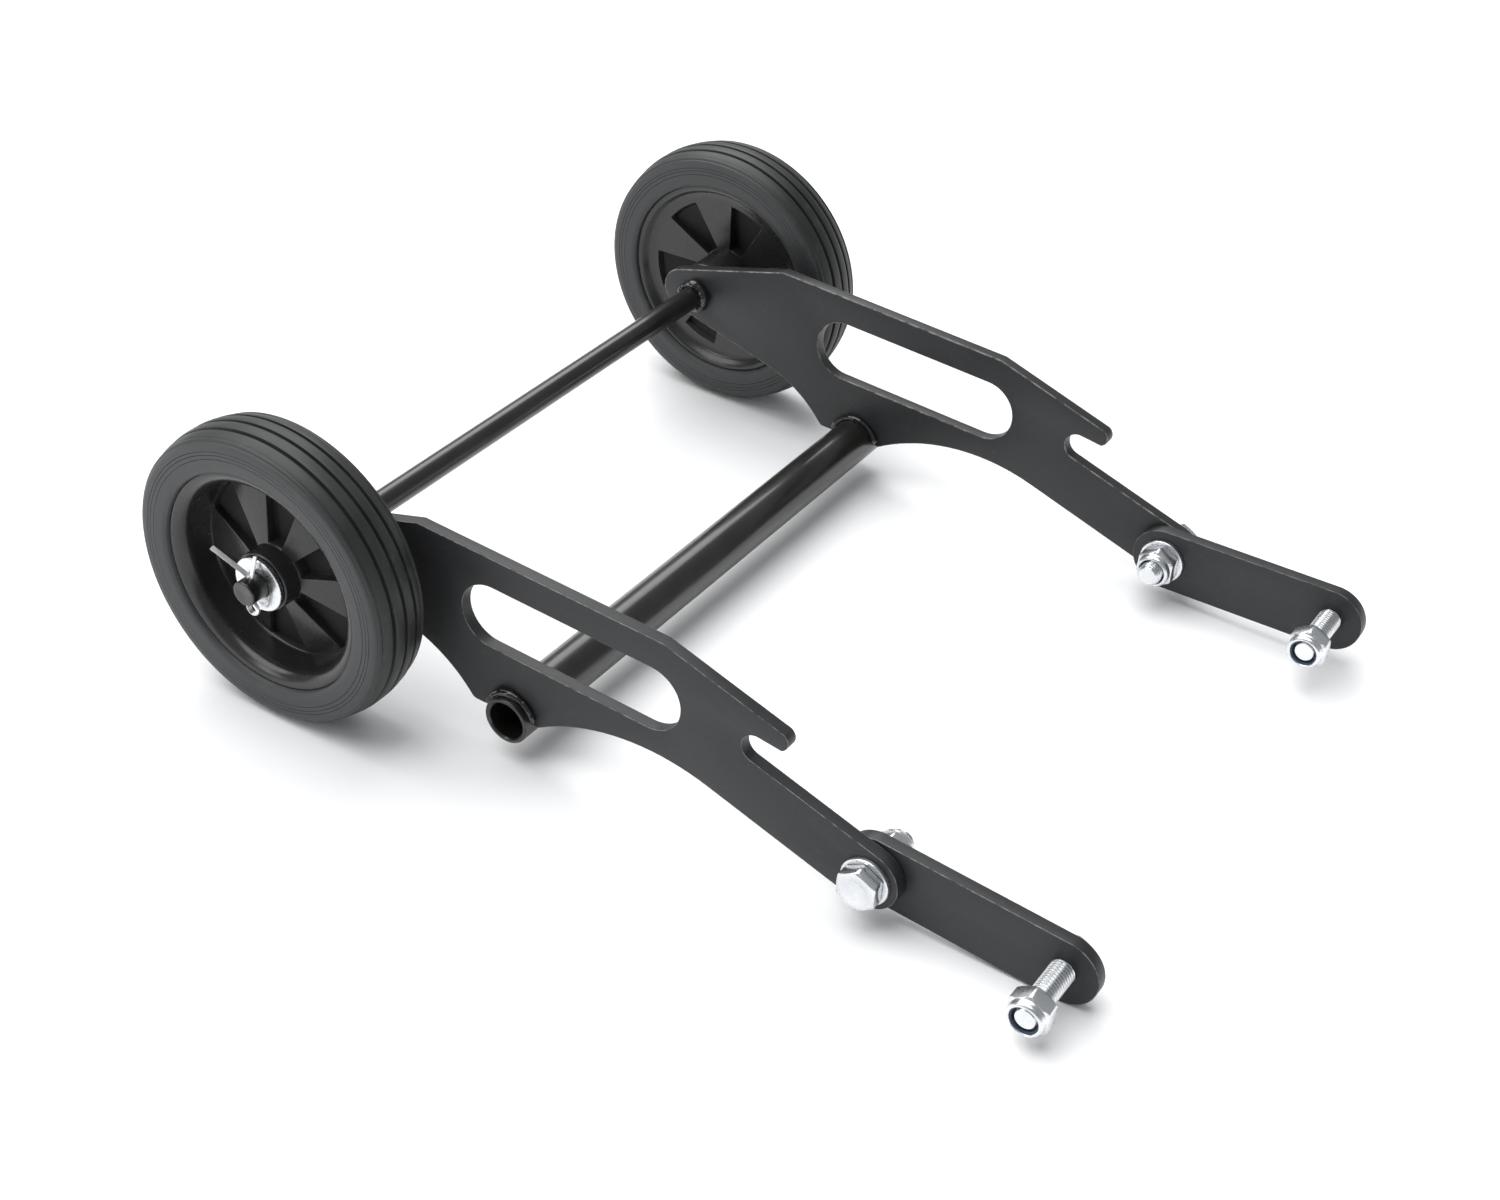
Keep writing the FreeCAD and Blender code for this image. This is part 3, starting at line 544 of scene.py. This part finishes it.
def bolt_head_points(angle):
    """Side of a bolt's head from its bearing face to the middle of its top."""
    hexagon = hex_radius(angle)
    chamfer_start = HEX_FLATS / 2.0 - 0.35
    drop = max(0.0, hexagon - chamfer_start) * CHAMFER_SLOPE
    side_top = HEAD_HEIGHT - drop
    points = [(0.0, THREAD_MAJOR + 0.4), (0.0, chamfer_start - 0.4), (0.25, chamfer_start - 0.2)]
    points += [(0.3, hexagon - 0.15), (0.5, hexagon)]
    points += [(side_top - 0.2, hexagon), (side_top, hexagon - 0.12)]
    points += [(HEAD_HEIGHT - 0.05, chamfer_start), (HEAD_HEIGHT, chamfer_start - 0.5)]
    points += [(HEAD_HEIGHT, 6.4), (HEAD_HEIGHT - 0.28, 6.0)]
    points += [(HEAD_HEIGHT - 0.32, 3.0), (HEAD_HEIGHT - 0.32, 0.0)]
    return points


def shade_thread_grooves(mesh, origin, facing, length):
    """Mark the thread's grooves, which are darkened as painted shade."""
    layer = mesh.color_attributes.new("groove", "BYTE_COLOR", "POINT")
    for index, vert in enumerate(mesh.vertices):
        along = (vert.co.x / MM - origin.x) * facing
        radius = math.hypot(vert.co.y / MM - origin.y, vert.co.z / MM - origin.z)
        amount = 0.0
        if 0.6 - length < along < -0.2:
            amount = clamp((THREAD_MAJOR - 0.25 - radius) / (THREAD_MAJOR - THREAD_MINOR))
        layer.data[index].color = (amount, amount, amount, 1.0)


def bolt_mesh(name, origin, length, facing):
    """Hex bolt whose head looks along facing and whose thread runs the other way."""
    angles = hex_angles()
    step = THREAD_PITCH / 9.0
    count = int((length - 0.6) / step)

    def section(angle):
        points = [(-length, 0.0), (-length, THREAD_MAJOR - 1.9)]
        for index in range(count + 1):
            reach = length - index * step
            points.append((-reach, thread_radius(reach, angle, length)))
        points.append((-0.3, THREAD_MAJOR - 0.05))
        return points + bolt_head_points(angle)

    mesh = turned_mesh(name, section, angles, origin, facing)
    shade_thread_grooves(mesh, origin, facing, length)
    finish_mesh(mesh, 38.0)
    return mesh


def nut_mesh(name, origin, facing):
    """Nylon-insert nut: chamfered hexagon, crimped round collar and plain bore."""
    angles = hex_angles()
    start = HEX_FLATS / 2.0 - 0.35
    seat_top = NUT_HEIGHT - 0.7
    seat_low = seat_top - 2.2
    bore = NUT_BORE

    def section(angle):
        hexagon = hex_radius(angle)
        drop = max(0.0, hexagon - start) * CHAMFER_SLOPE
        points = [(0.5, bore), (0.0, bore + 0.6), (0.0, start - 0.3)]
        points += [(drop, hexagon - 0.1), (drop + 0.2, hexagon)]
        points += [(NUT_HEX_HEIGHT - drop - 0.2, hexagon), (NUT_HEX_HEIGHT - drop, hexagon - 0.1)]
        points += [(NUT_HEX_HEIGHT, start - 0.1), (NUT_HEX_HEIGHT + 0.15, COLLAR_RADIUS + 0.15)]
        points += [(NUT_HEX_HEIGHT + 0.5, COLLAR_RADIUS)]
        points += arc_points((NUT_HEIGHT - 1.6, COLLAR_RADIUS - 1.6), 1.6, 90.0, 0.0, 7)
        points += [(NUT_HEIGHT - 0.1, COLLAR_LIP + 0.2), (NUT_HEIGHT - 0.35, COLLAR_LIP)]
        points += [(seat_top, COLLAR_LIP), (seat_top, 7.5), (seat_low, 7.5), (seat_low, bore)]
        return points

    mesh = turned_mesh(name, section, angles, origin, facing, ring_closed=True)
    finish_mesh(mesh, 38.0)
    return mesh


def ring_mesh(name, origin, facing):
    """Nylon ring with a softened, faintly wavy mouth."""
    top = NUT_HEIGHT - 0.72
    low = top - 2.15

    def section(angle):
        wave = 0.0072 * math.sin(9.0 * angle)
        return [(low, RING_BORE), (low, 7.45), (top, 7.45),
                (top, 6.85), (top - 0.15 + wave, 6.45), (top - 0.5, RING_BORE)]

    mesh = turned_mesh(name, section, even_angles(64), origin, facing, ring_closed=True)
    finish_mesh(mesh, 40.0)
    return mesh


def washer_mesh(name, origin, outer, bore, facing):
    """Punched washer: rolled edge on one side, slight burr on the other."""
    thick = WASHER_THICK

    def section(angle):
        wobble = 0.03 * math.sin(2.0 * angle)
        points = [(0.35, bore), (0.0, bore + 0.3)]
        points += [(0.0, outer - 0.35), (0.35, outer)]
        points += arc_points((thick - 0.55, outer - 0.55), 0.55, 90.0, 0.0, 4)
        points += [(thick + wobble * 0.5 - 0.02, (outer + bore) / 2.0), (thick - 0.05, bore + 0.5)]
        points += [(thick - 0.45, bore)]
        return points

    mesh = turned_mesh(name, section, even_angles(96), origin, facing, ring_closed=True)
    finish_mesh(mesh, 40.0)
    return mesh


def make_pivot_hardware():
    centre = centre_of("pivot_bolts")
    head_face = span_of("pivot_bolts")[1].x - HEAD_HEIGHT
    inner_face = span_of("pivot_inner_washers")[1].x
    outer_low, outer_high = span_of("pivot_outer_washers")
    washer_radius = (outer_high.z - outer_low.z) / 2.0
    for side, tag in ((1.0, "right"), (-1.0, "left")):
        def at(x):
            return Vector((side * x, centre.y, centre.z))
        put("pivot_bolt_" + tag, bolt_mesh("pivot_bolt_" + tag, at(head_face), PIVOT_SHANK, side),
            "zinc", "frame", "pivot_bolts")
        mesh = washer_mesh("pivot_washer_outer_" + tag, at(outer_high.x - WASHER_THICK),
                           washer_radius, WASHER_BORE, side)
        put("pivot_washer_outer_" + tag, mesh, "zinc", "frame", "pivot_outer_washers")
        mesh = washer_mesh("pivot_washer_inner_" + tag, at(inner_face),
                           washer_radius, WASHER_BORE, -side)
        put("pivot_washer_inner_" + tag, mesh, "zinc", "frame", "pivot_inner_washers")
        nut_face = at(inner_face - WASHER_THICK)
        put("pivot_nut_" + tag, nut_mesh("pivot_nut_" + tag, nut_face, -side),
            "zinc", "frame", "pivot_lock_nuts")
        put("pivot_ring_" + tag, ring_mesh("pivot_ring_" + tag, nut_face, -side),
            "nylon", "frame", "pivot_nut_rings")


def make_end_hardware():
    for tag in ("right", "left"):
        bolt_low, bolt_high = span_of(tag + "_end_bolt")
        centre = centre_of(tag + "_end_bolt")
        length = bolt_high.x - bolt_low.x - HEAD_HEIGHT
        seat = Vector((bolt_low.x + HEAD_HEIGHT, centre.y, centre.z))
        mesh = bolt_mesh(tag + "_end_bolt_threaded", seat, length, -1.0)
        put(tag + "_end_bolt_threaded", mesh, "zinc", tag + "_link", tag + "_end_bolt")
        nut_low = span_of(tag + "_end_nut")[0]
        face = Vector((nut_low.x, centre.y, centre.z))
        put(tag + "_end_nut_crimped", nut_mesh(tag + "_end_nut_crimped", face, 1.0),
            "zinc", tag + "_nut", tag + "_end_nut")
        put(tag + "_end_ring_nylon", ring_mesh(tag + "_end_ring_nylon", face, 1.0),
            "nylon", tag + "_nut", tag + "_end_nut_ring")


def make_axle_washers():
    low, high = span_of("axle_washers")
    centre = centre_of("axle_washers")
    radius = (high.z - low.z) / 2.0
    for side, tag in ((1.0, "right"), (-1.0, "left")):
        origin = Vector((side * (high.x - WASHER_THICK), centre.y, centre.z))
        mesh = washer_mesh("axle_washer_" + tag, origin, radius, AXLE_RADIUS + 0.25, side)
        put("axle_washer_" + tag, mesh, "zinc", "frame", "axle_washers")


# ------------------------------------------------------------------ split pins

def smooth_curve(points, steps):
    """Sample a smooth curve through a few control points."""
    samples = []
    count = len(points)
    for i in range(count - 1):
        p0 = points[max(0, i - 1)]
        p1 = points[i]
        p2 = points[i + 1]
        p3 = points[min(count - 1, i + 2)]
        for step in range(steps):
            f = step / steps
            square = 2.0 * p0 - 5.0 * p1 + 4.0 * p2 - p3
            cube = 3.0 * p1 - p0 - 3.0 * p2 + p3
            samples.append(0.5 * ((2.0 * p1) + (p2 - p0) * f + square * f * f + cube * f * f * f))
    samples.append(points[-1])
    return samples


def half_round_sweep(name, path, inward, radius, origin, facing):
    """Sweep a half-round wire along a path; inward gives the side its flat faces."""
    rim = 10
    verts = []
    for index, point in enumerate(path):
        ahead = path[min(index + 1, len(path) - 1)]
        behind = path[max(index - 1, 0)]
        tangent = (ahead - behind).normalized()
        flat = inward(index / (len(path) - 1))
        flat = (flat - tangent * flat.dot(tangent)).normalized()
        cross = tangent.cross(flat)
        for k in range(rim + 1):
            turn = math.pi * k / rim
            offset = cross * (math.cos(turn) * radius) - flat * (math.sin(turn) * radius)
            spot = point + offset
            verts.append(((origin.x + facing * spot.x) * MM, (origin.y + facing * spot.y) * MM,
                          (origin.z + spot.z) * MM))
    rings = len(path)
    size = rim + 1
    faces = []
    for i in range(rings - 1):
        for k in range(size):
            m = (k + 1) % size
            faces.append((i * size + k, (i + 1) * size + k, (i + 1) * size + m, i * size + m))
    faces.append(tuple(range(size)))
    faces.append(tuple((rings - 1) * size + k for k in reversed(range(size))))
    mesh = bpy.data.meshes.new(name)
    mesh.from_pydata(verts, [], faces)
    work = bmesh.new()
    work.from_mesh(mesh)
    bmesh.ops.recalc_face_normals(work, faces=work.faces)
    work.to_mesh(mesh)
    work.free()
    finish_mesh(mesh, 50.0)
    return mesh


def split_pin_path():
    """One wire: long leg tip, through the axle, round the eye, back up to the short tip."""
    gap = 0.12
    rod = AXLE_RADIUS
    points = [
        Vector((4.0, -19.0, rod + 11.3)), Vector((3.0, -14.2, rod + 8.6)),
        Vector((1.7, -8.0, rod + 5.0)), Vector((0.7, -3.3, rod + 2.2)),
        Vector((0.1, -0.9, rod + 0.3)), Vector((0.0, -gap, rod - 2.0)),
        Vector((0.0, -gap, 0.0)), Vector((0.0, -gap, -rod - 0.6)),
        Vector((0.0, -1.5, -rod - 2.3)), Vector((0.0, -2.7, -rod - 4.3)),
        Vector((0.0, -1.9, -rod - 6.3)), Vector((0.0, 0.0, -rod - 7.2)),
        Vector((0.0, 1.9, -rod - 6.3)), Vector((0.0, 2.7, -rod - 4.3)),
        Vector((0.0, 1.5, -rod - 2.3)), Vector((0.0, gap, -rod - 0.6)),
        Vector((0.0, gap, 0.0)), Vector((0.0, gap, rod - 1.5)),
        Vector((-0.2, 0.4, rod + 1.0)), Vector((-1.2, 1.0, rod + 5.5)),
        Vector((-2.6, 1.7, rod + 11.6)),
    ]
    return smooth_curve(points, 6)


def make_split_pins():
    axle = centre_of("axle")
    pin_x = 208.5
    wire_radius = 1.25
    path = split_pin_path()
    middle = Vector((0.0, 0.0, -AXLE_RADIUS - 4.3))

    def inward(share):
        if share < 0.36:
            return Vector((0.0, 1.0, 0.25))
        if share > 0.74:
            return Vector((0.0, -1.0, 0.1))
        point = path[int(share * (len(path) - 1))]
        return middle - point if point.z < -AXLE_RADIUS else Vector((0.0, -point.y, 0.0))

    for side, tag in ((1.0, "right"), (-1.0, "left")):
        origin = Vector((side * pin_x, axle.y, axle.z))
        mesh = half_round_sweep("split_pin_" + tag, path, inward, wire_radius, origin, side)
        put("split_pin_" + tag, mesh, "pin_steel", "frame", "split_pins")


# ------------------------------------------------------------------ wheels

def tyre_points(half, crown, seat):
    """Section of the tyre from its inner bead round the tread to the outer bead."""
    pitch = 7.4
    groove = 2.2
    points = [(-half + 1.6, seat - 0.3), (-half + 0.9, seat + 0.5), (-half + 0.7, seat + 1.2),
              (-half + 0.45, seat + 1.6), (-half + 0.25, seat + 3.0)]
    for radius in (64.2, 66.3, 68.0):
        points += [(-half + 0.05, radius - 0.45), (-half + 0.02, radius - 0.12),
                   (-half + 0.32, radius), (-half + 0.04, radius + 0.12),
                   (-half + 0.10, radius + 0.5)]
    points += [(-half + 0.20, 70.2), (-half + 0.45, 71.3), (-half + 1.1, 72.2), (-half + 1.5, 72.3)]
    points += [(-half + 1.7, 72.9), (-half + 2.3, 73.4), (-half + 3.0, 73.6)]

    def surface(x):
        return crown - 2.4 * (abs(x) / 13.2) ** 2.4

    ribs = [(-half + 3.6, -pitch - 1.0), (-pitch + 1.0, -1.0),
            (1.0, pitch - 1.0), (pitch + 1.0, half - 3.6)]
    for index, (start, end) in enumerate(ribs):
        for step in range(9):
            share = step / 8.0
            x = start + (end - start) * share
            dome = 0.10 * math.sin(math.pi * share)
            edge = 0.14 * (1.0 - min(1.0, min(share, 1.0 - share) * 9.0)) ** 2
            points.append((x, surface(x) - 0.10 + dome - edge))
        if index < 3:
            floor = surface(end + 1.0) - groove
            points += [(end + 0.25, floor + 0.7), (end + 0.55, floor + 0.12), (end + 1.0, floor),
                       (end + 1.45, floor + 0.12), (end + 1.75, floor + 0.7)]
    body = [p for p in points if p[0] < -half + 3.3]
    points += [(-x, r) for x, r in reversed(body)]
    return points


def tone_tyre(mesh, centre):
    """Mark the sidewalls, which bloom paler than the tread."""
    layer = mesh.color_attributes.new("side_tone", "BYTE_COLOR", "POINT")
    for index, vert in enumerate(mesh.vertices):
        radius = math.hypot(vert.co.y / MM - centre.y, vert.co.z / MM - centre.z)
        amount = smooth((73.6 - radius) / 2.0)
        layer.data[index].color = (amount, amount, amount, 1.0)


def make_tyre(tag, side):
    low, high = span_of(tag + "_wheel_tyre")
    hub_low, hub_high = span_of(tag + "_hub_rim")
    centre = centre_of(tag + "_wheel_tyre")
    half = (high.x - low.x) / 2.0
    crown = (high.z - low.z) / 2.0
    seat = (hub_high.z - hub_low.z) / 2.0
    base = tyre_points(half, crown, seat)

    def section(_angle):
        return base

    mesh = turned_mesh(tag + "_tyre_ribbed", section, even_angles(240), centre, side,
                       ring_closed=True)
    tone_tyre(mesh, centre)
    finish_mesh(mesh, 55.0)
    put(tag + "_tyre_ribbed", mesh, "tyre_rubber", tag + "_wheel", tag + "_wheel_tyre")


# The hub's web in millimetres: u runs outward along the axle from the tyre's middle.
WEB_RIM_U = -4.0
WEB_HUB_U = 3.5
WEB_DEPTH = 8.5
WEB_RIM_DEPTH = 5.4
PANEL = 2.5
WEB_RIM_R = 47.5
REAR_RIM_R = 45.5
BOSS_R = 15.0

# Half the angle a pocket takes up, in degrees, on the outer and the inner side.
FRONT_HALF = 14.0
REAR_HALF = 13.6


def web_u(radius):
    share = clamp((WEB_RIM_R - radius) / (WEB_RIM_R - BOSS_R))
    return WEB_RIM_U + (WEB_HUB_U - WEB_RIM_U) * share


def web_depth(radius):
    """Web thickness: fuller at the boss, thinner at the rim, so both sides are dished."""
    share = clamp((WEB_RIM_R - radius) / (WEB_RIM_R - BOSS_R))
    return WEB_RIM_DEPTH + (WEB_DEPTH - WEB_RIM_DEPTH) * share


def pocket_depth(angle, radius, turn, half_angle, rim):
    """How far a web surface sinks, 0 on a raised panel to full in a pocket."""
    period = 60.0
    degrees = math.degrees(angle) - turn
    local = abs((degrees + period / 2.0) % period - period / 2.0)
    wall = 0.55 / max(radius, 5.0) * 180.0 / math.pi
    across = smooth((half_angle - local) / (2.0 * wall) + 0.5)
    ends = smooth((radius - BOSS_R - 0.5) / 1.0) * smooth((rim - 0.4 - radius) / 1.0)
    return across * ends * (web_depth(radius) - PANEL)


def hub_points(angle, turn, lip, seat, outer_end, inner_end):
    """Section of the hub at one angle, from the bore's outer mouth round to the bore."""
    points = [(outer_end - 0.6, HUB_BORE), (outer_end, HUB_BORE + 0.6), (outer_end, BOSS_R - 1.4)]
    points += arc_points((outer_end - 0.8, BOSS_R - 0.8), 0.8, 0.0, 90.0, 3)
    points += [(web_u(BOSS_R) + 1.6, BOSS_R), (web_u(BOSS_R) + 0.5, BOSS_R + 0.25)]
    radii = [15.3, 15.6, 15.9, 16.2, 16.6, 18.0, 20.0, 23.0, 27.0, 31.0, 35.0, 39.0,
             41.8, 42.1, 42.4, 42.7, 43.0, 44.0, 45.5, 46.2, 46.5, 46.8, 47.1, 47.4]
    for radius in radii:
        sink = pocket_depth(angle, radius, turn, FRONT_HALF, WEB_RIM_R)
        points.append((web_u(radius) - sink, radius))
    points += [(WEB_RIM_U + 0.5, 47.75), (WEB_RIM_U + 1.6, 48.0), (0.0, 48.5), (3.0, 49.1)]
    points += arc_points((lip - 7.4, 56.6), 7.4, 270.0, 352.0, 12)
    points += [(lip - 0.5, 56.85), (lip - 1.4, seat), (6.0, seat), (-6.0, seat)]
    points += [(-lip + 1.4, seat), (-lip + 0.5, 56.85)]
    points += arc_points((-lip + 6.0, 56.6), 6.0, 188.0, 214.0, 5)
    back = WEB_RIM_U - WEB_RIM_DEPTH
    points += [(back - 1.6, 52.0), (back - 1.0, 50.8), (back - 0.6, 49.6), (back - 0.2, 48.4)]
    for radius in reversed(radii):
        sink = pocket_depth(angle, radius, turn + 30.0, REAR_HALF, REAR_RIM_R)
        points.append((web_u(radius) - web_depth(radius) + sink, radius))
    foot = web_u(BOSS_R) - WEB_DEPTH
    points += [(foot - 0.5, BOSS_R + 0.25), (foot - 1.6, BOSS_R)]
    points += [(-inner_end + 0.8, BOSS_R), (-inner_end + 0.2, BOSS_R - 0.4)]
    points += [(-inner_end, BOSS_R - 1.2)]
    points += [(-inner_end, HUB_BORE + 0.6), (-inner_end + 0.6, HUB_BORE)]
    return points


def hub_angles(turn):
    """Angles round the hub, closer together where pocket walls stand."""
    near_wall = (-2.4, -1.6, -1.0, -0.6, -0.3, 0.0, 0.3, 0.6, 1.0, 1.6, 2.4)
    walls = (FRONT_HALF, -FRONT_HALF, 30.0 + REAR_HALF, 30.0 - REAR_HALF)
    degrees = set()
    for sector in range(6):
        centre = turn + 60.0 * sector
        for wall in walls:
            for offset in near_wall:
                degrees.add(round((centre + wall + offset) % 360.0, 4))
        for offset in range(0, 60, 4):
            degrees.add(round((centre + offset) % 360.0, 4))
    return [math.radians(d) for d in sorted(degrees)]


def shade_hub_pockets(mesh, centre, facing, turn):
    """Mark the floors of the hub's pockets, painted near black and duller as shade in the recesses."""
    layer = mesh.color_attributes.new("pocket_painted_shade", "BYTE_COLOR", "POINT")
    for index, vert in enumerate(mesh.vertices):
        u = (vert.co.x / MM - centre.x) * facing
        y = (vert.co.y / MM - centre.y) * facing
        z = vert.co.z / MM - centre.z
        radius = math.hypot(y, z)
        angle = math.atan2(z, y)
        amount = 0.0
        if BOSS_R + 0.4 < radius < WEB_RIM_R - 0.4:
            front = pocket_depth(angle, radius, turn, FRONT_HALF, WEB_RIM_R)
            rear = pocket_depth(angle, radius, turn + 30.0, REAR_HALF, REAR_RIM_R)
            to_front = abs(u - (web_u(radius) - front))
            to_rear = abs(u - (web_u(radius) - web_depth(radius) + rear))
            sunk = front if to_front < to_rear else rear
            amount = clamp(sunk / (web_depth(radius) - PANEL))
        layer.data[index].color = (amount, amount, amount, 1.0)


def make_hub(tag, side, turn):
    """Dished hub with a zigzag web; turn is the angle of its first front pocket."""
    rim_low, rim_high = span_of(tag + "_hub_rim")
    boss_low, boss_high = span_of(tag + "_hub_boss")
    tyre_centre = centre_of(tag + "_wheel_tyre")
    middle = abs(tyre_centre.x)
    seat = (rim_high.z - rim_low.z) / 2.0
    lip = (rim_high.x - rim_low.x) / 2.0
    outer_end = max(abs(boss_high.x), abs(boss_low.x)) - middle
    inner_end = middle - min(abs(boss_high.x), abs(boss_low.x))

    def section(angle):
        return hub_points(angle, turn, lip, seat, outer_end, inner_end)

    mesh = turned_mesh(tag + "_hub_moulded", section, hub_angles(turn), tyre_centre, side,
                       ring_closed=True)
    shade_hub_pockets(mesh, tyre_centre, side, turn)
    finish_mesh(mesh, 50.0)
    put(tag + "_hub_moulded", mesh, "hub_plastic", tag + "_wheel",
        tag + "_hub_rim", tag + "_hub_web", tag + "_hub_boss")


def make_wheels():
    for tag, side, turn in (("right", 1.0, 26.5), ("left", -1.0, 19.0)):
        make_tyre(tag, side)
        make_hub(tag, side, turn)


# ------------------------------------------------------------------ floor, light, camera

def make_floor():
    """Seamless pale floor, wide enough to meet the horizon in low views."""
    half = 60.0
    mesh = bpy.data.meshes.new("studio_floor")
    corners = [(-half, -half, 0.0), (half, -half, 0.0), (half, half, 0.0), (-half, half, 0.0)]
    mesh.from_pydata(corners, [], [(0, 1, 2, 3)])
    floor = bpy.data.objects.new("studio_floor", mesh)
    bpy.context.scene.collection.objects.link(floor)
    material, shader = new_material("studio_floor")
    shader.inputs["Base Color"].default_value = (0.93, 0.93, 0.935, 1.0)
    shader.inputs["Roughness"].default_value = 0.9
    shader.inputs["Specular IOR Level"].default_value = 0.1
    mesh.materials.append(material)


def add_area(name, location, target, size, power):
    lamp = bpy.data.lights.new(name, "AREA")
    lamp.shape = "RECTANGLE"
    lamp.size = size[0]
    lamp.size_y = size[1]
    lamp.energy = power
    holder = bpy.data.objects.new(name, lamp)
    bpy.context.scene.collection.objects.link(holder)
    holder.location = location
    direction = Vector(target) - Vector(location)
    holder.rotation_euler = direction.to_track_quat("-Z", "Y").to_euler()


def light_sky_at_horizon(tree, background):
    """Dim room overhead, with a thin pale band where it meets the floor."""
    place = tree.nodes.new("ShaderNodeTexCoord")
    split = tree.nodes.new("ShaderNodeSeparateXYZ")
    ramp = tree.nodes.new("ShaderNodeValToRGB")
    ramp.color_ramp.elements[0].position = 0.03
    ramp.color_ramp.elements[0].color = (1.0, 1.0, 1.0, 1.0)
    ramp.color_ramp.elements[1].position = 0.07
    ramp.color_ramp.elements[1].color = (0.323, 0.332, 0.340, 1.0)
    tree.links.new(place.outputs["Generated"], split.inputs["Vector"])
    tree.links.new(split.outputs["Z"], ramp.inputs["Fac"])
    tree.links.new(ramp.outputs["Color"], background.inputs["Color"])


def make_light():
    world = bpy.data.worlds.new("studio")
    bpy.context.scene.world = world
    world.use_nodes = True
    background = world.node_tree.nodes["Background"]
    background.inputs["Strength"].default_value = 1.0
    light_sky_at_horizon(world.node_tree, background)
    sun = bpy.data.lights.new("overhead", "SUN")
    sun.energy = 3.3
    sun.angle = math.radians(70.0)
    holder = bpy.data.objects.new("overhead", sun)
    bpy.context.scene.collection.objects.link(holder)
    holder.rotation_euler = Vector((-0.05, 0.40, -1.0)).to_track_quat("-Z", "Y").to_euler()
    add_area("rear_softbox", (-1.4, -1.2, 1.5), (0.0, 0.0, 0.05), (1.4, 0.9), 14.0)
    add_area("side_softbox", (1.5, -1.1, 0.8), (0.0, 0.0, 0.05), (0.5, 0.9), 5.0)


def make_camera():
    lens_mm = 54.4
    camera = bpy.data.cameras.new("camera")
    camera.sensor_width = 36.0
    camera.lens = lens_mm
    camera.clip_start = 0.05
    holder = bpy.data.objects.new("camera", camera)
    bpy.context.scene.collection.objects.link(holder)
    holder.location = (0.8062, 0.4632, 0.6897)
    tilt, roll, heading = 54.222, -2.704, 123.287
    holder.rotation_euler = (math.radians(tilt), math.radians(roll), math.radians(heading))
    bpy.context.scene.camera = holder


def set_view():
    settings = bpy.context.scene.view_settings
    settings.view_transform = "Standard"
    settings.look = "None"
    settings.exposure = 0.0


make_camera()
make_light()
make_floor()
set_view()
make_flat_parts()
make_tube()
make_axle()
make_welds()
make_pivot_hardware()
make_end_hardware()
make_axle_washers()
make_split_pins()
make_wheels()
